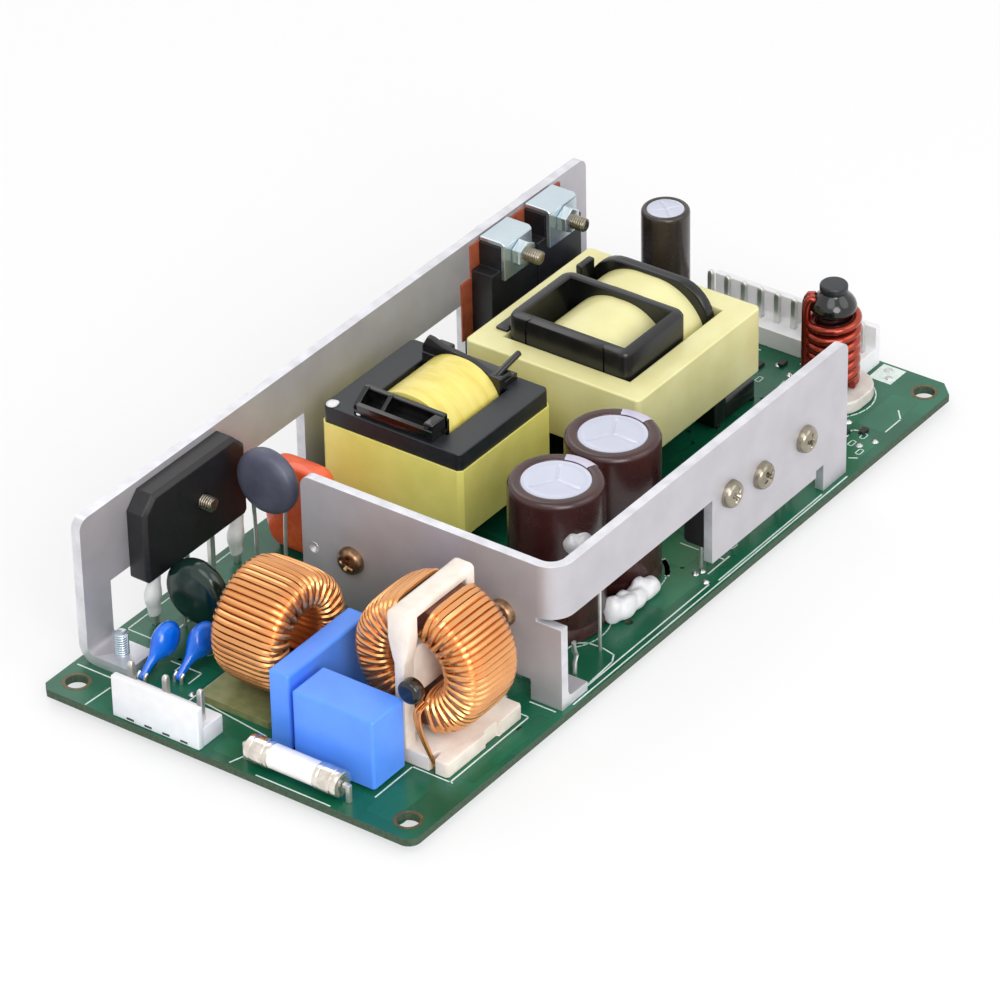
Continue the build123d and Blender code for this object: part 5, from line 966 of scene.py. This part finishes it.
for k in range(14):
    x, y = chance.choice(((151, 6), (160, 36), (108, 8), (124, 10)))
    x, y = x + chance.uniform(-4, 4), y + chance.uniform(-3, 3)
    stripe(form, [(x - 0.9, y - 0.5), (x + 0.9, y - 0.5), (x + 0.9, y + 0.5), (x - 0.9, y + 0.5),
                  (x - 0.9, y - 0.5)], 0.2)
form.slab([(173.6, 11.4), (179.4, 11.4), (179.4, 16.6), (173.6, 16.6)], BOARD_TOP, BOARD_TOP + PRINT_H)
form.piece("board_print", looks=[PRINT], slot="white_plastic", sharp=30)

HOLES = ((5, 4.5), (175, 4.5), (5, 79.5), (175, 79.5))
COPPER_H, TRACE_H = 0.02, 0.012
form = Form()
for x0, x1, y0, y1 in ((84, 95, 3.9, 9.4), (97.5, 106.5, 8.8, 22), (107.5, 134, 9.2, 24), (143, 155, 2, 9),
                       (158, 171, 3.2, 9.2), (2.2, 7, 40.2, 46.2), (20, 44, 1.2, 4.2), (3, 15, 6.6, 12.6),
                       (40.8, 46, 31, 60), (57.4, 72.6, 43, 60.6), (8.8, 22, 59.6, 63.4),
                       (28, 46.6, 76.6, 82), (104, 127, 68, 80.6), (147, 153.4, 28, 41),
                       (156, 169.6, 40, 53.6), (49.8, 60, 12.8, 40), (80, 96, 30, 41.6),
                       (172.6, 178.8, 59, 80)):
    form.slab(rounded(x0, x1, y0, y1, 0.8), BOARD_TOP, BOARD_TOP + COPPER_H)
for x0, x1, y0, y1 in ((4, 60, 6, 30), (66, 120, 8, 36), (126, 172, 6, 30), (8, 80, 40, 76),
                       (90, 170, 42, 78)):
    form.slab(rounded(x0, x1, y0, y1, 1.5), -COPPER_H, 0)
for k in range(26):
    x, y, run = chance.uniform(8, 158), chance.uniform(11, 73), chance.uniform(4, 9)
    stripe(form, [(x, y), (x + run, y), (x + 11, y + chance.choice((-3, 3))),
                  (x + 11, y + chance.choice((-7, 7)))], 0.7, BOARD_TOP, BOARD_TOP + TRACE_H)
    stripe(form, [(x, 2 * HALF_W - y), (x + run + 3, 2 * HALF_W - y)], 0.8, -COPPER_H, 0)
form.piece("copper_under_mask", looks=[MASK_LIGHT], slot="board_green", sharp=30)

form = Form()
for x, y in HOLES:
    inner, outer = circle(2.12, 40, x, y), circle(2.75, 40, x, y)
    for low, high in ((BOARD_TOP, BOARD_TOP + PRINT_H), (-PRINT_H, 0)):
        section = ((inner, low), (inner, high), (outer, high), (outer, low))
        form.loft([[at(u, v, z) for u, v in line] for line, z in section], loop=True)
form.piece("hole_rims", looks=[RIM], slot="board_green", sharp=30)

form = Form()
dots = [(157.5, 10.9), (156, 6.8), (154.4, 2.8), (153.2, 9), (151.6, 4.6), (167.4, 33.7), (165.6, 29.8),
        (163.6, 26.1), (166, 37), (177.9, 14.6), (175.4, 13), (96, 2.9), (97.2, 6), (98.6, 5.4), (16.8, 72.4),
        (19, 76.2), (44.6, 73.4), (58.4, 60.8), (13.6, 59.6), (44.6, 24), (45, 12.6), (103.4, 7.2), (52, 57),
        (110.6, 6.2), (118, 6.6), (124.6, 6)]
dots += [(149 + 2.2 * (k % 4), 33 + 1.9 * (k // 4)) for k in range(12)]
for x, y in dots:
    r = chance.uniform(0.5, 0.8)
    form.lathe([(r * k, BOARD_TOP + h) for k, h in ((1.25, 0), (1.2, 0.04), (0.8, 0.22), (0.45, 0.42),
                                                    (0.25, 0.47))], turned(x, y, 0), sides=16)
form.piece("board_joints", slot="solder", sharp=60)


# Camera, light and floor
PHOTO_VIEW = (-53.6665, 33.2473)
PHOTO_ROLL = -1.2227
PHOTO_TARGET = (0.009125, 0.010267, 0.0)
PHOTO_DISTANCE = 1.07771
PHOTO_LENS = 203.16
LAMPS = (("key", -75.0, 55.0, 1.4, 0.9, 4.0), ("front", -38.0, 28.0, 1.5, 0.9, 11.0),
         ("fill", 20.0, 40.0, 1.5, 1.1, 4.0), ("back", 150.0, 50.0, 1.5, 0.9, 3.0))
WORLD_LIGHT = 0.64
FLOOR_GLOW = 0.62
FLOOR_HALF = 3.0
WHITE = (1.0, 1.0, 1.0, 1.0)


def linked(name, data):
    """Object in the scene that isn't a piece."""
    obj = bpy.data.objects.new(name, data)
    bpy.context.scene.collection.objects.link(obj)
    return obj


def outward(azimuth, elevation):
    """Direction from the object to an eye or a lamp."""
    a, e = radians(azimuth), radians(elevation)
    return Vector((sin(a) * cos(e), -cos(a) * cos(e), sin(e)))


def eye():
    """Camera of the photograph."""
    a, r = radians(PHOTO_VIEW[0]), radians(PHOTO_ROLL)
    back = outward(*PHOTO_VIEW)
    right = Vector((cos(a), sin(a), 0.0))
    up = back.cross(right)
    right, up = right * cos(r) + up * sin(r), up * cos(r) - right * sin(r)
    data = bpy.data.cameras.new("photo_camera")
    data.sensor_width = 36.0
    data.lens = PHOTO_LENS
    data.clip_start, data.clip_end = 0.05, 20.0
    camera = linked("photo_camera", data)
    turn = Matrix((right, up, back)).transposed()
    camera.matrix_world = Matrix.Translation(Vector(PHOTO_TARGET) + back * PHOTO_DISTANCE) @ turn.to_4x4()
    bpy.context.scene.camera = camera


def lamp(name, azimuth, elevation, distance, size, watts):
    """Round area lamp that faces the object."""
    back = outward(azimuth, elevation)
    data = bpy.data.lights.new(name, "AREA")
    data.shape = "DISK"
    data.size = size
    data.energy = watts
    light = linked(name, data)
    light.location = back * distance
    light.rotation_mode = "QUATERNION"
    light.rotation_quaternion = back.to_track_quat("Z", "Y")


def seen_directly(tree):
    """1 for what the eye, a mirror or glass sees, 0 for light on the object."""
    paths = tree.nodes.new("ShaderNodeLightPath")
    seen = paths.outputs["Is Camera Ray"]
    for kind in ("Is Glossy Ray", "Is Transmission Ray"):
        either = tree.nodes.new("ShaderNodeMath")
        either.operation = "MAXIMUM"
        tree.links.new(seen, either.inputs[0])
        tree.links.new(paths.outputs[kind], either.inputs[1])
        seen = either.outputs["Value"]
    return seen


def chosen(tree, factor, unlit, lit, end):
    """Mix of two shaders on the named output."""
    choice = tree.nodes.new("ShaderNodeMixShader")
    tree.links.new(factor, choice.inputs["Fac"])
    tree.links.new(unlit, choice.inputs[1])
    tree.links.new(lit, choice.inputs[2])
    tree.links.new(choice.outputs["Shader"], tree.nodes[end].inputs["Surface"])


def backdrop():
    """World that is plain white to the eye and softer as light."""
    world = bpy.data.worlds.new("studio")
    world.use_nodes = True
    bpy.context.scene.world = world
    tree = world.node_tree
    room = tree.nodes["Background"]
    room.inputs["Color"].default_value = WHITE
    room.inputs["Strength"].default_value = WORLD_LIGHT
    white = add_node(tree, "ShaderNodeBackground", Color=WHITE, Strength=1.0)
    chosen(tree, seen_directly(tree), room.outputs["Background"], white.outputs["Background"], "World Output")


def pale_floor():
    """Floor that is nearly white and keeps the object's shadow."""
    mat = bpy.data.materials.new("pale_floor")
    mat.use_nodes = True
    tree = mat.node_tree
    shader = tree.nodes["Principled BSDF"]
    shader.inputs["Base Color"].default_value = (0.86, 0.86, 0.86, 1.0)
    shader.inputs["Roughness"].default_value = 0.9
    shader.inputs["Specular IOR Level"].default_value = 0.1
    glow = add_node(tree, "ShaderNodeEmission", Strength=1.0)
    part = tree.nodes.new("ShaderNodeMath")
    part.operation = "MULTIPLY"
    part.inputs[1].default_value = FLOOR_GLOW
    tree.links.new(seen_directly(tree), part.inputs[0])
    chosen(tree, part.outputs["Value"], shader.outputs["BSDF"], glow.outputs["Emission"], "Material Output")
    mesh = bpy.data.meshes.new("floor")
    corners = ((-1, -1), (1, -1), (1, 1), (-1, 1))
    mesh.from_pydata([(u * FLOOR_HALF, v * FLOOR_HALF, CAD_LO.z) for u, v in corners], [], [(0, 1, 2, 3)])
    mesh.materials.append(mat)
    linked("floor", mesh)


backdrop()
pale_floor()
eye()
for spec in LAMPS:
    lamp(*spec)
bpy.context.scene.view_settings.view_transform = "Standard"
